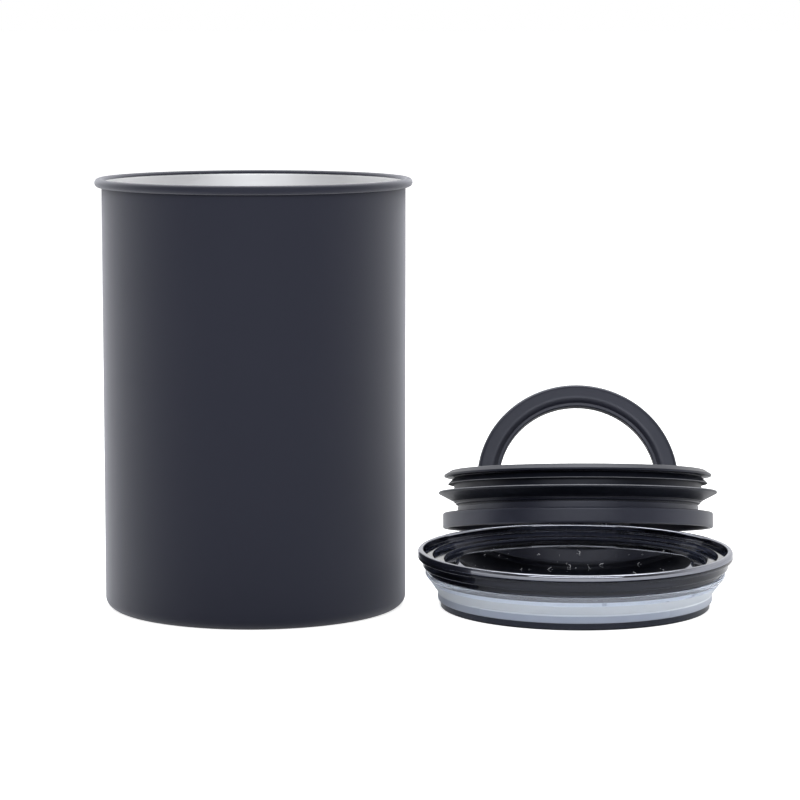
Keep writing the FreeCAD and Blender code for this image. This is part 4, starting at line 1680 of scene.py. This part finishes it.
@dataclass
class Handle(SubAssembly):
    """Half-ring grip that folds on its axle.

    Attributes:
        place: Where the plunger lid leans.
        radius: Outside of the half ring.
        width: Width of the grip seen from the front.
        thick: Depth of the grip.
        outer_soft: Rounding of the grip's outer corners.
        inner_soft: Rounding of the grip's inner corners.
        rib_proud: How far the rib stands in from the grip.
        rib_end: Angle at which the rib stops short of the hubs.
        hub_inset: How far the hubs lie inside the grip's faces.
    """

    place: PlungerPlace = PlungerPlace()
    radius: float = 44.2
    width: float = 8.8
    thick: float = 7.0
    outer_soft: float = 1.8
    inner_soft: float = 3.2
    grip_steps: int = 10
    rib_proud: float = 1.0
    rib_width: float = 4.0
    rib_end: float = 9.0
    rib_steps: int = 3
    hub_inset: float = 0.3
    hub_round: float = 0.8
    hub_sides: int = 64
    body = BodyName.HANDLE

    def grip_section(self) -> Section:
        """Draw the grip with its rounded corners.

        Returns:
            The section across the half ring.
        """
        inner = self.radius - self.width
        half = self.thick / 2.0
        return Section((
            Spot(inner, -half, self.inner_soft), Spot(self.radius, -half, self.outer_soft),
            Spot(self.radius, half, self.outer_soft), Spot(inner, half, self.inner_soft),
        ), closed=True, arc_steps=self.grip_steps)

    def rib_section(self) -> Section:
        """Draw the rib along the grip's inside.

        Returns:
            The section across the half ring.
        """
        inner = self.radius - self.width
        half = self.rib_width / 2.0
        soft = self.rib_proud / 2.0
        crest = inner - self.rib_proud
        root = inner + self.rib_proud
        return Section((
            Spot(crest, -half, soft), Spot(root, -half), Spot(root, half), Spot(crest, half, soft),
        ), closed=True, arc_steps=self.rib_steps)

    def hub_meshes(self) -> list[Mesh]:
        """Turn the two hubs about the axle.

        Returns:
            A mesh for each hub.
        """
        half = self.width / 2.0 - self.hub_inset
        hub = self.thick / 2.0 - self.hub_inset
        section = Section((
            Spot(0.0, -half), Spot(hub, -half, self.hub_round),
            Spot(hub, half, self.hub_round), Spot(0.0, half),
        ))
        meshes = []
        for side in (-1.0, 1.0):
            mesh = self.shop.turned(section, self.shop.finishes.grip_plastic, segments=self.hub_sides)
            aside = Matrix.Translation((side * (self.radius - self.width / 2.0) * MM, 0.0, 0.0))
            mesh.transform(aside @ Matrix.Rotation(TURN / 4.0, 4, "Y"))
            meshes.append(mesh)
        return meshes

    def build(self) -> None:
        """Sweep the grip and its rib, and join the hubs."""
        finish = self.shop.finishes.grip_plastic
        middle = self.radius - self.width / 2.0
        grip = self.shop.arched(self.grip_section(), middle, 0.0, finish)
        rib = self.shop.arched(self.rib_section(), middle, self.rib_end, finish)
        meshes = [grip, rib, *self.hub_meshes()]
        self.piece("grip", meshes, self.place.handle(), SlotName.BLACK_PLASTIC, "handle")

    def dress(self) -> None:
        """Finish the axle and the cam."""
        self.paint(self.shop.finishes.drawn_steel, "pivot_axle")
        self.paint(self.shop.finishes.plastic, "valve_cam")


@dataclass
class Valve(SubAssembly):
    """Poppet, its washer and the follower that the cam pushes."""

    body = BodyName.VALVE

    def build(self) -> None:
        """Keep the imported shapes, which are plain turned pieces."""
        LOG.info("valve: packed shapes kept")

    def dress(self) -> None:
        """Finish the poppet, the washer and the follower."""
        self.paint(self.shop.finishes.plastic, "valve_stem", "stem_cap")
        self.paint(self.shop.finishes.rubber, "valve_seal")


@dataclass(frozen=True)
class Softbox:
    """One studio lamp.

    Attributes:
        name: The lamp's name.
        at: Where it stands, in metres.
        towards: What it faces, in metres.
        size: Width and height in metres.
        power: Watts.
        tone: Colour of the light.
    """

    name: str
    at: Triple
    towards: Triple
    size: Span
    power: float
    tone: Colour = (0.965, 0.98, 1.0)

    def build(self) -> None:
        """Place the lamp."""
        lamp = bpy.data.lights.new(self.name, "AREA")
        lamp.shape = "RECTANGLE"
        lamp.size, lamp.size_y = self.size
        lamp.energy = self.power
        lamp.color = self.tone
        stand = stood(self.name, lamp)
        stand.location = self.at
        stand.visible_camera = False
        aim = Vector(self.towards) - Vector(self.at)
        stand.rotation_euler = aim.to_track_quat("-Z", "Y").to_euler()


@dataclass
class Studio:
    """Pale floor, soft white surround, lamps and the camera.

    Attributes:
        floor: Half side of the floor in metres.
        floor_colour: The floor's own colour.
        floor_lift: How much white the floor adds where it is seen.
        floor_gloss: Share of that white in reflections.
        front: Strength of the surround behind the camera.
        back: Strength of the surround behind the object.
        depth_edge: Where the one turns into the other, as the Y of a direction.
        overhead: Share of that strength right above the object.
        rise_edge: Where the surround dims to that share, as the Z of a direction.
        camera_at: Where the camera stands, in metres.
        camera_dip: How far it looks down, in radians.
        lens: Focal length in millimetres.
        film: Width of the camera's frame in millimetres.
        sight: How far the camera sees, in metres.
        lamps: The softboxes.
    """

    floor: float = 40.0
    floor_colour: float = 0.8
    floor_lift: float = 0.8
    floor_gloss: float = 0.08
    front: float = 0.14
    back: float = 1.25
    depth_edge: Span = (-0.45, 0.2)
    overhead: float = 0.35
    rise_edge: Span = (0.45, 0.8)
    camera_at: Triple = (0.05808, -1.25786, 0.23588)
    camera_dip: float = 0.1214
    lens: float = 142.4
    film: float = 36.0
    sight: float = 100.0
    lamps: tuple[Softbox, ...] = (
        Softbox("front_softbox", (0.07, -1.05, 0.72), (0.07, 0.05, 0.06), (1.5, 0.5), 10.0),
        Softbox("top_softbox", (0.05, 0.5, 1.1), (0.05, 0.0, 0.05), (1.2, 0.8), 14.0),
    )

    @staticmethod
    def _cleared(owner: Material | bpy.types.World) -> NodeGraph:
        """Give a material or a world an empty node tree.

        Args:
            owner: The material or the world.

        Returns:
            A graph on the tree.
        """
        owner.use_nodes = True
        owner.node_tree.nodes.clear()
        return NodeGraph(owner.node_tree)

    def _seen(self, graph: NodeGraph) -> Socket:
        """Return 1 for rays that see the floor, less for its reflections, 0 for rays that light the object.

        Args:
            graph: The tree that the nodes go into.

        Returns:
            The socket that carries the share.
        """
        rays = graph.add("ShaderNodeLightPath").outputs
        mirrored = graph.math("MULTIPLY", rays["Is Glossy Ray"], self.floor_gloss)
        direct = graph.math("MAXIMUM", rays["Is Camera Ray"], mirrored)
        return graph.math("MAXIMUM", direct, rays["Is Transmission Ray"])

    def build_floor(self) -> None:
        """Lay the floor, which shows white and keeps the shadows."""
        material = bpy.data.materials.new("pale_floor")
        graph = self._cleared(material)
        grey = (self.floor_colour, self.floor_colour, self.floor_colour, 1.0)
        matte = graph.add("ShaderNodeBsdfDiffuse", {"Color": grey})
        lift = graph.math("MULTIPLY", self._seen(graph), self.floor_lift)
        glow = graph.add("ShaderNodeEmission", {"Strength": lift})
        both = graph.add("ShaderNodeAddShader", {0: matte.outputs["BSDF"], 1: glow.outputs["Emission"]})
        graph.add("ShaderNodeOutputMaterial", {"Surface": both.outputs["Shader"]})
        reach = self.floor
        corners = [(-reach, -reach, 0.0), (reach, -reach, 0.0), (reach, reach, 0.0), (-reach, reach, 0.0)]
        mesh = bpy.data.meshes.new("floor")
        mesh.from_pydata(corners, [], [(0, 1, 2, 3)])
        mesh.materials.append(material)
        stood("floor", mesh)

    def build_surround(self) -> None:
        """Wrap the scene in soft white, dimmer behind the camera than behind the object."""
        world = bpy.data.worlds.new("studio_surround")
        graph = self._cleared(world)
        place = graph.add("ShaderNodeTexCoord")
        parts = graph.add("ShaderNodeSeparateXYZ", {"Vector": place.outputs["Generated"]}).outputs
        depth = graph.ranged(parts["Y"], self.front, self.back, *self.depth_edge)
        rise = graph.ranged(parts["Z"], 1.0, self.overhead, *self.rise_edge)
        seen = graph.add("ShaderNodeLightPath").outputs["Is Camera Ray"]
        rest = graph.math("MULTIPLY", graph.math("SUBTRACT", 1.0, seen), graph.math("MULTIPLY", depth, rise))
        sky = graph.add("ShaderNodeBackground", {
            "Color": (1.0, 1.0, 1.0, 1.0), "Strength": graph.math("ADD", rest, seen),
        })
        graph.add("ShaderNodeOutputWorld", {"Surface": sky.outputs["Background"]})
        bpy.context.scene.world = world

    def build_camera(self) -> None:
        """Place the camera."""
        lens = bpy.data.cameras.new("photo_camera")
        lens.sensor_width = self.film
        lens.lens = self.lens
        lens.clip_end = self.sight
        camera = stood("photo_camera", lens)
        camera.location = self.camera_at
        camera.rotation_euler = (TURN / 4.0 - self.camera_dip, 0.0, 0.0)
        bpy.context.scene.camera = camera

    def build(self) -> None:
        """Set up the whole studio."""
        self.build_floor()
        self.build_surround()
        for lamp in self.lamps:
            lamp.build()
        self.build_camera()
        bpy.context.scene.view_settings.view_transform = "Standard"
        LOG.info("studio: %d lamps", len(self.lamps))


def main() -> None:
    """Build and dress every sub-assembly, then the studio."""
    logging.basicConfig(level=logging.INFO, format="%(name)s: %(message)s")
    for stray in list(bpy.data.objects):
        bpy.data.objects.remove(stray)
    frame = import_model()
    shop = Workshop(FinishShelf(), frame["nodes"])
    for kind in (Canister, OuterLid, PlungerLid, Handle, Valve):
        group = kind(shop)
        group.build()
        group.dress()
    Studio().build()
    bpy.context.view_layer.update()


if __name__ == "__main__":
    main()
